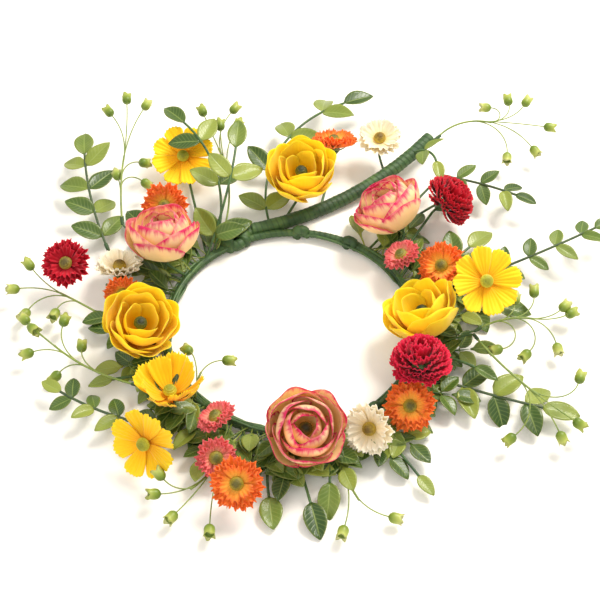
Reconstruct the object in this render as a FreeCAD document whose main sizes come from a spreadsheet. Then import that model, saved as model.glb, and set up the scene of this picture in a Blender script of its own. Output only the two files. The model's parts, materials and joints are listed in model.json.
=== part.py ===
"""Flower crown: a tape-wrapped wire hoop that carries artificial flowers, leaf twigs and bud sprays.

The row frame has its origin at the centre of the hoop, +Z up through the head opening, and -Y at the
front of the crown. Lengths are millimetres and angles are degrees. A place is given the way a florist
would: an angle round the hoop from +X, a distance out from the hoop's centre line, and a height.
"""

import FreeCAD
import Part

import math
import os

import Sketcher

V = FreeCAD.Vector
UP = V(0, 0, 1)

# ---------------------------------------------------------------- driving dimensions

SIZES = [
    ("hoop_diameter", 180.0, "centre line of the hoop, for a head of about 55 cm"),
    ("wire_diameter", 2.4, "steel wire inside the hoop"),
    ("hoop_tape_diameter", 5.2, "outside of the tape wound on the hoop wire"),
    ("band_diameter", 8.0, "tape bands that bind the stems down"),
    ("band_angle", 9.0, "degrees of hoop that each band covers"),
    ("branch_diameter", 6.4, "outside of the tape on the back branch"),
    ("branch_wire_diameter", 3.0, "bundle of wires inside the back branch"),
    ("elbow_radius", 6.0, "where a stem turns away from its calyx or its bend"),
    ("flower_stem_diameter", 2.0, "green covered wire under each flower"),
    ("twig_diameter", 1.9, "main stem of a leaf twig"),
    ("spray_diameter", 1.5, "main stem of a bud spray"),
    ("spray_branch_diameter", 0.9, "thin branch that carries one bud"),
    ("bend_gap", 0.6, "free wire on each side of a bend point"),
    ("branch_bend_gap", 1.0, "free wires on each side of the back branch's bend"),
    ("stem_sink", 0.5, "how far a fixed stem, leaf or tie goes into what carries it"),
    ("seat_clearance", 0.05, "between a piece and what it is slipped over"),
    ("branch_gap", 0.2, "between the tapes of the hoop and the back branch"),
    ("branch_root_start", 125.0, "degrees round the hoop where the back branch begins"),
    ("branch_root_end", 110.0, "degrees round the hoop where the back branch lets go"),
    ("calyx_diameter", 9.0, "green cup under a flower, at the petals"),
    ("calyx_height", 6.0, "green cup under a flower"),
    ("ranunculus_diameter", 54.0, "layered cup of petals"),
    ("ranunculus_height", 30.0, "layered cup of petals"),
    ("ranunculus_pit_diameter", "=eye_diameter + 2 * eye_room", "opening between the inner petals"),
    ("ranunculus_pit_depth", 10.0, "opening between the inner petals"),
    ("cosmos_diameter", 50.0, "open flower of eight petals"),
    ("cosmos_petal_width", 19.0, "one cosmos petal"),
    ("cosmos_height", 3.4, "two crossed layers of cosmos petals"),
    ("cosmos_cup_diameter", 45.0, "half-open cosmos"),
    ("cosmos_cup_height", 22.0, "half-open cosmos"),
    ("frill_diameter", 36.0, "mini carnation with an open eye"),
    ("frill_height", 11.0, "mini carnation with an open eye"),
    ("small_frill_diameter", 28.0, "smallest frilled flower"),
    ("small_frill_height", 10.0, "smallest frilled flower"),
    ("pompon_diameter", 40.0, "double carnation"),
    ("pompon_height", 23.0, "double carnation"),
    ("eye_diameter", 9.4, "moulded centre of a flower"),
    ("eye_height", 4.0, "moulded centre of a flower"),
    ("eye_room", 0.8, "free space round the centre of a ranunculus"),
    ("leaf_length", 24.0, "large leaf"),
    ("leaf_width", 14.0, "large leaf"),
    ("small_leaf_length", 17.0, "small leaf"),
    ("small_leaf_width", 9.5, "small leaf"),
    ("leaf_thickness", 0.8, "moulded leaf"),
    ("bud_diameter", 7.0, "bud cup at its widest"),
    ("bud_length", 8.0, "bud cup"),
    ("bud_mouth_diameter", 4.4, "open end of the bud cup"),
]

doc = FreeCAD.newDocument("flower_crown")
sheet = doc.addObject("Spreadsheet::Sheet", "sizes")
for row, (alias, value, use) in enumerate(SIZES, start=1):
    sheet.set(f"A{row}", alias)
    sheet.set(f"B{row}", str(value))
    sheet.set(f"C{row}", use)
    sheet.setAlias(f"B{row}", alias)
doc.recompute()


def size(alias):
    """One driving dimension, in millimetres or degrees."""
    return float(sheet.get(alias))


HOOP_RADIUS = size("hoop_diameter") / 2

# Shares of a head's own height or diameter that give its outline.
RANUNCULUS_BELLY, RANUNCULUS_CROWN, RANUNCULUS_RIM = 0.48, 0.28, 0.9
FRILL_BELLY, FRILL_CROWN, FRILL_FLOOR, CUP_FLOOR = 0.7, 0.42, 0.55, 0.2
POMPON_BELLY = 0.45
# The flat at the top of a dome, as a share of its diameter.
DOME_FLAT = 0.08
COSMOS_PETALS = 8
# Shares of a bud's width or length.
BUD_FOOT, BUD_BELLY, BUD_LIP, BUD_FLOOR = 0.14, 0.5, 0.6, 0.82
CALYX_FOOT, CALYX_SHOULDER = 0.8, 0.35

# Degrees between a leaf and its stem, and the most that a leaf is rolled about the stem.
LEAF_SPREAD, LEAF_ROLL = 55, 22
GOLDEN_ANGLE = 137.5
# The most of a short stem's reach that its elbow takes as a radius.
ELBOW_SHARE = 0.3
# A heading this near to straight up is squared against X instead of Z.
STEEP = 0.9
# The least that an arc bows, as a share of its chord.
LEAST_BOW = 0.01
# How far apart the wraps of a wide band are, as shares of the way from the hoop to the branch.
WRAP_SHARES = (0, 0.5, 1)
# Half the root of a cosmos petal, as a share of its width.
PETAL_ROOT = 1 / 6
# How far along its share of a twig each pair of leaves sits.
FIRST_PAIR = 0.45
FULL_TURN = 360


# ---------------------------------------------------------------- the arrangement

# A place is (angle, out, up). A carrier is the hoop, with a foot angle, or the back branch, with a foot
# share from 0 at its bend to 1 at its end.

# lean: how far the face of the flower tips from straight up. towards: which way it tips.
FLOWERS = [
    # name, head, place of its middle, lean, towards, carrier, foot
    ("yellow_ranunculus_left", "ranunculus", (-171, 17, 26), 20, -40, "hoop", -171),
    ("yellow_ranunculus_back", "ranunculus", (87, 35, 29), 8, -90, "branch", 0.16),
    ("yellow_ranunculus_right", "ranunculus", (-5, 2, 27), 25, 150, "hoop", 0),
    ("pink_ranunculus_front", "ranunculus", (-85, 13, 26), 24, -80, "hoop", -88),
    ("pink_ranunculus_left", "ranunculus", (149, 19, 35), 20, 100, "hoop", 149),
    ("pink_ranunculus_right", "ranunculus", (51, 25, 28), 35, 150, "hoop", 44),
    ("yellow_cosmos_right", "cosmos", (1, 44, 50), 34, -80, "hoop", 12),
    ("yellow_cosmos_left", "cosmos_cup", (-140, 17, 28), 6, 90, "hoop", -142),
    ("yellow_cosmos_low", "cosmos", (-131, 56, 21), 60, -120, "hoop", -133),
    ("yellow_cosmos_back", "cosmos", (119, 87, 16), 25, -90, "hoop", 135),
    ("red_carnation_back", "pompon", (40, 68, 28), 48, 10, "hoop", 36),
    ("orange_carnation_left", "frill", (134, 49, 20), 48, -90, "hoop", 138),
    ("orange_carnation_back", "frill", (79, 79, 22), 28, 90, "branch", 0.35),
    ("orange_carnation_side", "frill", (20, 25, 22), 30, -120, "hoop", 22),
    ("orange_carnation_right", "frill", (-45, 22, 18), 34, -90, "hoop", -44),
    ("white_carnation_front", "frill", (-62, 20, 18), 50, -120, "hoop", -60),
    ("white_carnation_back", "frill", (68, 92, 22), 10, -90, "branch", 0.7),
    ("white_carnation_left", "frill", (160.5, 44, 14.5), 20, 90, "hoop", 158),
    ("orange_carnation_low", "small_frill", (171, 33, 15), 58, -90, "hoop", 171.5),
    ("pink_carnation_low", "small_frill", (-113, 37, 14), 40, -70, "hoop", -110),
    ("pink_carnation_top", "small_frill", (-119, 13, 21), 30, 150, "hoop", -120),
    ("pink_carnation_side", "small_frill", (32, 4, 21), 25, 170, "hoop", 29),
]

# These have a free neck: bend is where the wire gives, and the range is in degrees.
NODDING_FLOWERS = [
    # name, head, place of its middle, lean, towards, carrier, foot, bend
    ("red_carnation_left", "frill", (166, 79, 23), 28, -100, "hoop", 160.5, (165, 52, 4)),
    ("orange_carnation_front", "frill", (-104, 54, 20), 34, -95, "hoop", -104, (-104, 34, 4)),
    ("red_carnation_right", "pompon", (-32, 12, 41), 12, 100, "hoop", -31, (-32, 9, 14)),
]

# Leaf twigs that stand free outside the flowers, each bent at one place.
BENDING_TWIGS = [
    # name, carrier, foot, bend, middle, tip, pairs of leaves, leaf
    ("left_back_twig", "hoop", 146, (153, 66, 6), (144, 100, 12), (136, 137, 16), 4, "leaf"),
    ("back_right_twig", "hoop", 52, (49, 92, 12), (41, 104, 14), (34, 116, 15), 3, "small_leaf"),
    ("right_twig", "hoop", 17, (17, 62, 8), (18, 106, 14), (19, 148, 20), 4, "small_leaf"),
    ("right_front_twig", "hoop", -36, (-25, 30, 4), (-24, 64, 5), (-23, 96, 6), 3, "leaf"),
    ("left_front_twig", "hoop", -148, (-143, 47, 5), (-151, 63, 7), (-159, 80, 8), 3, "small_leaf"),
]

# Leaf twigs that lie among the flowers.
FILLER_TWIGS = [
    # name, carrier, foot, middle, tip, pairs of leaves, leaf
    ("back_left_twig", "hoop", 132.5, (114, 60, 26), (116, 104, 34), 3, "leaf"),
    ("front_left_leaves", "hoop", -98, (-98, 25, 1), (-96, 50, 1), 1, "leaf"),
    ("front_leaves", "hoop", -91, (-87, 30, 2), (-85, 54, 1), 1, "leaf"),
    ("front_right_leaves", "hoop", -75, (-77, 22, 4), (-79, 42, 3), 1, "leaf"),
    ("right_leaves", "hoop", -16.4, (-18, 26, 12), (-19.5, 44, 14), 1, "small_leaf"),
    ("back_high_twig", "hoop", 137, (113, 32, 32), (107, 58, 40), 2, "leaf"),
    ("left_back_leaves", "hoop", 141, (142, 30, 4), (141, 54, 5), 1, "leaf"),
    ("left_leaves", "hoop", -155.5, (-157, 28, 6), (-158, 44, 7), 1, "small_leaf"),
    ("left_front_leaves", "hoop", -139.5, (-138, 24, 3), (-137, 38, 4), 1, "small_leaf"),
    ("right_low_leaves", "hoop", -57.5, (-56, 34, 3), (-56, 60, 3), 1, "small_leaf"),
    ("right_side_leaves", "hoop", 14.4, (10, 30, 4), (6, 58, 5), 2, "leaf"),
    ("right_back_leaves", "hoop", 24, (24, 30, 8), (27, 58, 10), 2, "leaf"),
    ("back_inner_leaves", "hoop", 48.5, (48, 44, 3), (46, 70, 5), 1, "small_leaf"),
]

# The leaf twigs on the back branch.
BRANCH_TWIGS = [
    ("branch_twig", "branch", 0.1, (92, 85, 12), (79, 127, 18), 4, "leaf"),
    ("branch_side_leaves", "branch", 0.85, (58, 98, 18), (52, 90, 24), 1, "small_leaf"),
]

# Bud sprays that stand free, each bent at one place. Each bud is (share along the main stem, place).
BENDING_SPRAYS = [
    ("back_left_spray", "hoop", 143, (146, 64, 18), (139, 82, 26), (132, 104, 28),
     [(0.95, (127, 149, 26)), (0.9, (123, 154, 26)), (0.8, (121, 141, 26)), (0.6, (129, 99, 18)),
      (0.45, (132, 84, 16)), (0.3, (137, 92, 24))]),
    ("right_spray", "hoop", -9.5, (-4, 42, 10), (-1, 64, 14), (-1, 82, 14),
     [(0.9, (2, 102, 12)), (0.6, (5, 84, 16)), (0.4, (3, 69, 16)), (0.3, (-10, 60, 10)),
      (0.6, (-9, 79, 8)), (0.8, (-6, 97, 8)), (0.95, (1, 106, 10))]),
    ("right_front_spray", "hoop", -12.5, (-11, 40, 22), (-20, 65, 24), (-24, 92, 22),
     [(0.85, (-17, 114, 17)), (0.9, (-25, 118, 14)), (0.75, (-28, 112, 11)), (0.7, (-33, 88, 10))]),
    ("left_spray", "hoop", -152, (-151, 32, 14), (-162, 57, 14), (-171, 78, 14),
     [(0.95, (-179, 98, 10)), (0.8, (-171, 93, 10)), (0.55, (-165, 77, 6)), (0.6, (-178, 73, 10)),
      (0.35, (-170, 60, 8)), (0.9, (-176, 91, 12))]),
    ("left_back_spray", "hoop", 175.5, (176, 50, 4), (173, 66, 5), (171, 81, 6),
     [(0.9, (167, 105, 12)), (0.85, (172, 110, 10)), (0.7, (176, 101, 4)), (0.5, (176, 80, 6))]),
    ("back_right_spray", "branch", 1.0, (57, 121, 15), (55, 141, 18), (50, 156, 20),
     [(0.95, (52, 168, 22)), (0.9, (50, 180, 22)), (0.85, (48, 187, 22)), (0.8, (43, 183, 18)),
      (0.75, (42, 164, 12)), (0.6, (44, 145, 12))]),
]

# Bud sprays that lie among the flowers.
FILLER_SPRAYS = [
    ("back_spray", "hoop", 130.5, (112, 40, 16), (110, 80, 20),
     [(0.95, (110, 117, 22)), (0.8, (108, 95, 24)), (0.9, (104, 114, 22)), (0.7, (104, 98, 20))]),
    ("inner_spray", "hoop", -137, (-138, -2, 12), (-141, -10, 16),
     [(0.9, (-141, -28, 14)), (0.5, (-155, -12, 16))]),
    ("front_left_spray", "hoop", -117.2, (-114, 40, 1), (-116, 60, 4),
     [(0.9, (-122, 66, 12)), (0.7, (-121, 74, 8)), (0.5, (-116, 79, 4)), (0.3, (-108, 79, 4))]),
    ("front_right_spray", "hoop", -70, (-74, 35, 3), (-73, 60, 5),
     [(0.9, (-68, 77, 4)), (0.6, (-78, 75, 4))]),
]


# ---------------------------------------------------------------- places and arcs


def at(place):
    """The point of an (angle, out, up) place."""
    angle, out, up = place
    turn = math.radians(angle)
    reach = HOOP_RADIUS + out
    return V(reach * math.cos(turn), reach * math.sin(turn), up)


def leaning(lean, towards):
    """The unit vector that a flower faces along."""
    tip, turn = math.radians(lean), math.radians(towards)
    return V(math.sin(tip) * math.cos(turn), math.sin(tip) * math.sin(turn), math.cos(tip))


def unit(vector):
    return V(vector) / vector.Length


def arc_from(start, heading, end):
    """The arc that leaves start along heading and ends at end, as (start, centre, axis, sweep)."""
    chord = end - start
    heading = unit(heading)
    across = chord - heading * chord.dot(heading)
    if across.Length < LEAST_BOW * chord.Length:
        nudge = heading.cross(UP) if abs(heading.z) < STEEP else V(1, 0, 0)
        across = unit(nudge - heading * nudge.dot(heading)) * LEAST_BOW * chord.Length
        chord = heading * chord.Length + across
    inward = unit(across)
    radius = chord.Length**2 / (2 * chord.dot(inward))
    sweep = 2 * math.atan2(chord.dot(inward), chord.dot(heading))
    return start, start + inward * radius, heading.cross(inward), sweep


def arc_through(start, middle, end):
    """The same four facts for the arc through three points."""
    circle = Part.Circle(start, middle, end)
    spoke = unit(start - circle.Center)
    towards = middle - circle.Center
    axis = unit(spoke.cross(towards))
    return arc_from(start, axis.cross(spoke), end)


def point_on(arc, share):
    """(point, heading) at a share of the arc, from 0 at its start to 1 at its end."""
    start, centre, axis, sweep = arc
    spoke = FreeCAD.Rotation(axis, math.degrees(sweep) * share).multVec(start - centre)
    return centre + spoke, unit(axis.cross(spoke))


def elbow_and_run(start, heading, end):
    """A wire that leaves start along heading, bends at once, and runs straight to end.
    Returns the elbow as an arc and the point where the straight run begins."""
    chord = end - start
    heading = unit(heading)
    across = chord - heading * chord.dot(heading)
    radius = min(size("elbow_radius"), ELBOW_SHARE * chord.Length)
    inward = unit(across)
    centre = start + inward * radius
    reach = end - centre
    turned = math.atan2(reach.dot(heading), -reach.dot(inward))
    sweep = turned - math.acos(radius / reach.Length)
    elbow = (start, centre, heading.cross(inward), sweep % math.radians(FULL_TURN))
    return elbow, point_on(elbow, 1)[0]


def trimmed(arc, first, last):
    """The arc with a length taken off each end."""
    start, centre, axis, sweep = arc
    radius = (start - centre).Length
    begin = point_on(arc, first / (radius * sweep))[0]
    return begin, centre, axis, sweep - (first + last) / radius


# ---------------------------------------------------------------- tubes, heads, leaves and buds


def facing(axis, base):
    """The placement that stands a piece on base with its +Z along axis."""
    return FreeCAD.Placement(base, FreeCAD.Rotation(UP, axis))


def tube(label, arc, diameter):
    """A round wire bent to an arc: a Part::Torus whose thickness is a cell of the sheet."""
    start, centre, axis, sweep = arc
    torus = doc.addObject("Part::Torus", label)
    torus.Label = label
    torus.Radius1 = (start - centre).Length
    torus.setExpression("Radius2", f"sizes.{diameter} / 2")
    torus.Angle3 = math.degrees(sweep)
    spoke = unit(start - centre)
    spin = FreeCAD.Rotation(spoke, axis.cross(spoke), axis, "XZY")
    torus.Placement = FreeCAD.Placement(centre, spin)
    return torus


def rod(label, start, end, diameter):
    """A straight wire: a Part::Cylinder whose thickness is a cell of the sheet."""
    cylinder = doc.addObject("Part::Cylinder", label)
    cylinder.Label = label
    cylinder.setExpression("Radius", f"sizes.{diameter} / 2")
    cylinder.Height = (end - start).Length
    cylinder.Placement = facing(unit(end - start), start)
    return cylinder


def bent_wire(label, start, heading, end, short, diameter):
    """The elbow and the run of one wire, ending short of its end point."""
    elbow, begin = elbow_and_run(start, heading, end)
    way = unit(end - begin)
    return [
        tube(f"{label}_elbow", elbow, diameter),
        rod(f"{label}_run", begin, end - way * short, diameter),
    ]


def group(label, members):
    """Several separate solids in one node."""
    compound = doc.addObject("Part::Compound", label)
    compound.Label = label
    compound.Links = members
    return compound


def sleeve(label, outer, inner):
    """The outer solid with the inner one taken out of it."""
    cut = doc.addObject("Part::Cut", label)
    cut.Label = label
    cut.Base = outer
    cut.Tool = inner
    return cut


def term_value(terms):
    return sum(share * size(alias) for alias, share in terms)


def term_expression(terms):
    return " + ".join(f"sizes.{alias} * {share}" for alias, share in terms)


def origin_plane(body, role):
    return [feature for feature in body.Origin.OriginFeatures if feature.Role == role][0]


def new_body(label):
    body = doc.addObject("PartDesign::Body", label)
    body.Label = label
    return body


def new_sketch(body, label, role):
    sketch = body.newObject("Sketcher::SketchObject", label)
    sketch.AttachmentSupport = [(origin_plane(body, role), "")]
    sketch.MapMode = "FlatFace"
    return sketch


def pin_point(sketch, geometry, end, name, across, along):
    """Holds one sketch point at distances from the axes that are worked out from the sheet."""
    for axis, kind, terms in ((-2, "DistanceX", across), (-1, "DistanceY", along)):
        if not terms:
            sketch.addConstraint(Sketcher.Constraint("PointOnObject", geometry, end, axis))
            continue
        row = sketch.addConstraint(
            Sketcher.Constraint(kind, -1, 1, geometry, end, term_value(terms))
        )
        sketch.renameConstraint(row, f"{name}_{kind[-1]}")
        sketch.setExpression(f"Constraints.{name}_{kind[-1]}", term_expression(terms))


def draw_arc(sketch, start, middle, end):
    """Draws the arc anticlockwise, as a sketch keeps it. Returns which of its ends are start and end."""
    first, second = middle - start, end - middle
    if first.x * second.y - first.y * second.x > 0:
        sketch.addGeometry(Part.Arc(start, middle, end))
        return 1, 2
    sketch.addGeometry(Part.Arc(end, middle, start))
    return 2, 1


def turned_body(label, outline):
    """A solid of revolution about its own Z. outline is a list of (step, across, along): a line or a
    curve to a point, where a curve is level with its centre at its wider end."""
    body = new_body(label)
    sketch = new_sketch(body, f"{label}_outline", "XZ_Plane")
    points = [V(term_value(across), term_value(along), 0) for _, across, along in outline]
    ends = []
    for index, (step, _, _) in enumerate(outline):
        start, end = points[index - 1], points[index]
        if step == "line":
            sketch.addGeometry(Part.LineSegment(start, end))
            ends.append((1, 2))
            continue
        wide, narrow = (end, start) if step == "curve_out" else (start, end)
        rise = narrow.y - wide.y
        centre_x = (wide.x**2 - narrow.x**2 - rise**2) / (2 * (wide.x - narrow.x))
        radius = wide.x - centre_x
        half = math.atan2(rise, narrow.x - centre_x) / 2
        middle = V(centre_x + radius * math.cos(half), wide.y + radius * math.sin(half), 0)
        ends.append(draw_arc(sketch, start, middle, end))
    for index, (step, across, along) in enumerate(outline):
        first, last = ends[index]
        follower = (index + 1) % len(outline)
        sketch.addConstraint(
            Sketcher.Constraint("Coincident", index, last, follower, ends[follower][0])
        )
        pin_point(sketch, index, last, f"point{index}", across, along)
        if step != "line":
            wide_end = last if step == "curve_out" else first
            sketch.addConstraint(Sketcher.Constraint("Horizontal", index, 3, index, wide_end))
    turned = body.newObject("PartDesign::Revolution", f"{label}_turned")
    turned.Profile = sketch
    turned.ReferenceAxis = (sketch, ["V_Axis"])
    turned.Angle = FULL_TURN
    return body


def ranunculus_head(label):
    """A full cup of petals with an opening down to the eye."""
    wide, tall = "ranunculus_diameter", "ranunculus_height"
    pit, deep = "ranunculus_pit_diameter", "ranunculus_pit_depth"
    return turned_body(label, [
        ("line", [], []),
        ("line", [("calyx_diameter", 0.5)], []),
        ("curve_out", [(wide, 0.5)], [(tall, RANUNCULUS_BELLY)]),
        ("curve_in", [(wide, RANUNCULUS_CROWN)], [(tall, 1)]),
        ("line", [(pit, 0.5)], [(tall, RANUNCULUS_RIM)]),
        ("line", [(pit, 0.5)], [(tall, RANUNCULUS_RIM), (deep, -1)]),
        ("line", [], [(tall, RANUNCULUS_RIM), (deep, -1)]),
    ])


def frilled_head(label, wide, tall, floor=FRILL_FLOOR):
    """A shallow funnel of frilled petals round the eye."""
    return turned_body(label, [
        ("line", [], []),
        ("line", [("calyx_diameter", 0.5)], []),
        ("curve_out", [(wide, 0.5)], [(tall, FRILL_BELLY)]),
        ("line", [(wide, FRILL_CROWN)], [(tall, 1)]),
        ("line", [("eye_diameter", 0.5), ("seat_clearance", 4)], [(tall, floor)]),
        ("line", [], [(tall, floor)]),
    ])


def frill_head(label):
    return frilled_head(label, "frill_diameter", "frill_height")


def small_frill_head(label):
    return frilled_head(label, "small_frill_diameter", "small_frill_height")


def cosmos_cup_head(label):
    return frilled_head(label, "cosmos_cup_diameter", "cosmos_cup_height", CUP_FLOOR)


def pompon_head(label):
    """A dome of small petals."""
    wide, tall = "pompon_diameter", "pompon_height"
    return turned_body(label, [
        ("line", [], []),
        ("line", [("calyx_diameter", 0.5)], []),
        ("curve_out", [(wide, 0.5)], [(tall, POMPON_BELLY)]),
        ("curve_in", [(wide, DOME_FLAT)], [(tall, 1)]),
        ("line", [], [(tall, 1)]),
    ])


def cosmos_head(label):
    """Eight flat petals round a button: one padded petal in a polar pattern."""
    body = new_body(label)
    button_sketch = new_sketch(body, f"{label}_button", "XY_Plane")
    button_sketch.addGeometry(Part.Circle(V(0, 0, 0), UP, size("calyx_diameter") / 2))
    button_sketch.addConstraint(Sketcher.Constraint("Coincident", 0, 3, -1, 1))
    row = button_sketch.addConstraint(
        Sketcher.Constraint("Diameter", 0, size("calyx_diameter"))
    )
    button_sketch.renameConstraint(row, "button")
    button_sketch.setExpression("Constraints.button", "sizes.calyx_diameter")
    button = body.newObject("PartDesign::Pad", f"{label}_button_pad")
    button.Profile = button_sketch
    button.setExpression("Length", "sizes.cosmos_height")
    petal_sketch = new_sketch(body, f"{label}_petal", "XY_Plane")
    reach, half = size("cosmos_diameter") / 2, size("cosmos_petal_width") / 2
    side_high, side_low = V(reach - half, half, 0), V(reach - half, -half, 0)
    root = size("cosmos_petal_width") * PETAL_ROOT
    root_high, root_low = V(0, root, 0), V(0, -root, 0)
    petal_sketch.addGeometry(Part.LineSegment(root_high, side_high))
    upper, lower = draw_arc(petal_sketch, side_high, V(reach, 0, 0), side_low)
    petal_sketch.addGeometry(Part.LineSegment(side_low, root_low))
    petal_sketch.addGeometry(Part.LineSegment(root_low, root_high))
    joins = [(0, 2, 1, upper), (1, lower, 2, 1), (2, 2, 3, 1), (3, 2, 0, 1)]
    for first, first_end, second, second_end in joins:
        petal_sketch.addConstraint(
            Sketcher.Constraint("Coincident", first, first_end, second, second_end)
        )
    width, far = "cosmos_petal_width", "cosmos_diameter"
    pin_point(petal_sketch, 0, 1, "root_high", [], [(width, PETAL_ROOT)])
    pin_point(petal_sketch, 2, 2, "root_low", [], [(width, -PETAL_ROOT)])
    pin_point(petal_sketch, 0, 2, "side_high", [(far, 0.5), (width, -0.5)], [(width, 0.5)])
    pin_point(petal_sketch, 2, 1, "side_low", [(far, 0.5), (width, -0.5)], [(width, -0.5)])
    petal_sketch.addConstraint(Sketcher.Constraint("Vertical", 1, 3, 0, 2))
    petal = body.newObject("PartDesign::Pad", f"{label}_petal_pad")
    petal.Profile = petal_sketch
    petal.setExpression("Length", "sizes.cosmos_height")
    ring = body.newObject("PartDesign::PolarPattern", f"{label}_petals")
    ring.Originals = [petal]
    ring.Axis = (origin_plane(body, "Z_Axis"), [""])
    ring.Angle = FULL_TURN
    ring.Occurrences = COSMOS_PETALS
    body.Tip = ring
    return body


def eye(label):
    """The domed, moulded centre of a flower, flat where it sits."""
    return turned_body(label, [
        ("line", [], []),
        ("line", [("eye_diameter", 0.5)], []),
        ("curve_in", [("eye_diameter", DOME_FLAT)], [("eye_height", 1)]),
        ("line", [], [("eye_height", 1)]),
    ])


def calyx(label):
    """The green cup that holds the petals, with its mouth at Z 0 and the stem below."""
    return turned_body(label, [
        ("line", [], []),
        ("line", [], [("calyx_height", -1)]),
        ("line", [("flower_stem_diameter", CALYX_FOOT)], [("calyx_height", -1)]),
        ("line", [("calyx_diameter", 0.5)], [("calyx_height", -CALYX_SHOULDER)]),
        ("line", [("calyx_diameter", 0.5)], []),
    ])


def bud(label):
    """A closed cup on a point, with its mouth sunk a little."""
    wide, long, mouth = "bud_diameter", "bud_length", "bud_mouth_diameter"
    return turned_body(label, [
        ("line", [], []),
        ("line", [(wide, BUD_FOOT)], []),
        ("curve_out", [(wide, 0.5)], [(long, BUD_BELLY)]),
        ("line", [(mouth, BUD_LIP)], [(long, 1)]),
        ("line", [(mouth, 0.5)], [(long, BUD_FLOOR)]),
        ("line", [], [(long, BUD_FLOOR)]),
    ])


def leaf_blank(label, length, width):
    """A pointed oval leaf, flat, from its root at the origin to its tip on +X."""
    body = new_body(label)
    sketch = new_sketch(body, f"{label}_outline", "XY_Plane")
    far, half = size(length), size(width) / 2
    tip = V(far, 0, 0)
    for index, side in enumerate((1, -1)):
        root, point = draw_arc(sketch, V(0, 0, 0), V(far / 2, side * half, 0), tip)
        sketch.addConstraint(Sketcher.Constraint("Coincident", index, root, -1, 1))
        pin_point(sketch, index, point, f"tip{index}", [(length, 1)], [])
        radius = (far**2 + (2 * half) ** 2) / (8 * half)
        row = sketch.addConstraint(Sketcher.Constraint("Radius", index, radius))
        sketch.renameConstraint(row, f"side{index}")
        sketch.setExpression(
            f"Constraints.side{index}",
            f"(sizes.{length} ^ 2 + sizes.{width} ^ 2) / (4 * sizes.{width})",
        )
    blade = body.newObject("PartDesign::Pad", f"{label}_blade")
    blade.Profile = sketch
    blade.Midplane = True
    blade.setExpression("Length", "sizes.leaf_thickness")
    return body


def copy_of(blank, label, placement):
    """Another piece of the same moulding."""
    link = doc.addObject("App::Link", label)
    link.LinkedObject = blank
    link.Placement = placement
    return link


# ---------------------------------------------------------------- the line of the back branch

ON_LINE = [("hoop_diameter", 0)]
BRANCH_OUT = [("hoop_tape_diameter", 0.5), ("branch_diameter", 0.5), ("branch_gap", 1)]
BRANCH_TIP = (58, 119, 14)


def branch_arc():
    """The arc that leaves the hoop in line with the root of the branch and ends at its tip."""
    turn = math.radians(size("branch_root_end"))
    start = at((size("branch_root_end"), term_value(BRANCH_OUT), 0))
    return arc_from(start, V(math.sin(turn), -math.cos(turn), 0), at(BRANCH_TIP))


BRANCH_ARC = branch_arc()

# ---------------------------------------------------------------- flowers

# How high above the base of each head its eye sits. A pompon has no eye.
EYE_SEATS = {
    "ranunculus": [("ranunculus_height", 0.9), ("ranunculus_pit_depth", -1)],
    "cosmos": [("cosmos_height", 1)],
    "cosmos_cup": [("cosmos_cup_height", CUP_FLOOR)],
    "frill": [("frill_height", FRILL_FLOOR)],
    "small_frill": [("small_frill_height", FRILL_FLOOR)],
}

HEAD_BUILDERS = {
    "ranunculus": ranunculus_head,
    "cosmos": cosmos_head,
    "cosmos_cup": cosmos_cup_head,
    "frill": frill_head,
    "small_frill": small_frill_head,
    "pompon": pompon_head,
}


def base_and_axis(head, middle, lean, towards):
    """Where the bottom of a head is, and the way that it faces."""
    axis = leaning(lean, towards)
    return at(middle) - axis * size(f"{head}_height") / 2, axis


def flower_head(row):
    name, head, middle, lean, towards = row[:5]
    base, axis = base_and_axis(head, middle, lean, towards)
    body = HEAD_BUILDERS[head](name)
    body.Placement = facing(axis, base)
    return body


def flower_eye(label, row):
    head, middle, lean, towards = row[1:5]
    base, axis = base_and_axis(head, middle, lean, towards)
    body = eye(label)
    body.Placement = facing(axis, base + axis * term_value(EYE_SEATS[head]))
    return body


def flower_calyx(label, row):
    base, axis = base_and_axis(*row[1:5])
    body = calyx(label)
    body.Placement = facing(axis, base)
    return body


def calyx_bottom(row):
    base, axis = base_and_axis(*row[1:5])
    return base - axis * size("calyx_height"), axis


def foot_place(carrier, foot):
    """(point on the carrier's centre line, its radius)."""
    if carrier == "hoop":
        return at((foot, 0, 0)), size("hoop_tape_diameter") / 2
    return point_on(BRANCH_ARC, foot)[0], size("branch_diameter") / 2


def fixed_stem(row):
    """The calyx and the whole stem of a flower that is bound straight to its carrier."""
    name, carrier, foot = row[0], row[5], row[6]
    point, radius = foot_place(carrier, foot)
    bottom, axis = calyx_bottom(row)
    short = radius - size("stem_sink")
    wire = bent_wire(f"{name}_stem", bottom, axis * -1, point, short, "flower_stem_diameter")
    return [flower_calyx(f"{name}_calyx", row)] + wire


def nodding_stem(row):
    """The calyx and the moving part of the stem, down to the bend."""
    bottom, axis = calyx_bottom(row)
    bend, gap = at(row[7]), size("bend_gap")
    wire = bent_wire(f"{row[0]}_neck", bottom, axis * -1, bend, gap, "flower_stem_diameter")
    return [flower_calyx(f"{row[0]}_calyx", row)] + wire


def neck_heading(row):
    """The way that a nodding stem runs down into its bend."""
    bottom, axis = calyx_bottom(row)
    begin = elbow_and_run(bottom, axis * -1, at(row[7]))[1]
    return unit(at(row[7]) - begin)


def foot_stem(label, bend, heading, carrier, foot, diameter):
    """The fixed stem from a bend down to the carrier. heading is the way it leaves the bend."""
    point, radius = foot_place(carrier, foot)
    start = bend + unit(heading) * size("bend_gap")
    return bent_wire(label, start, heading, point, radius - size("stem_sink"), diameter)


# ---------------------------------------------------------------- twigs and sprays

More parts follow.
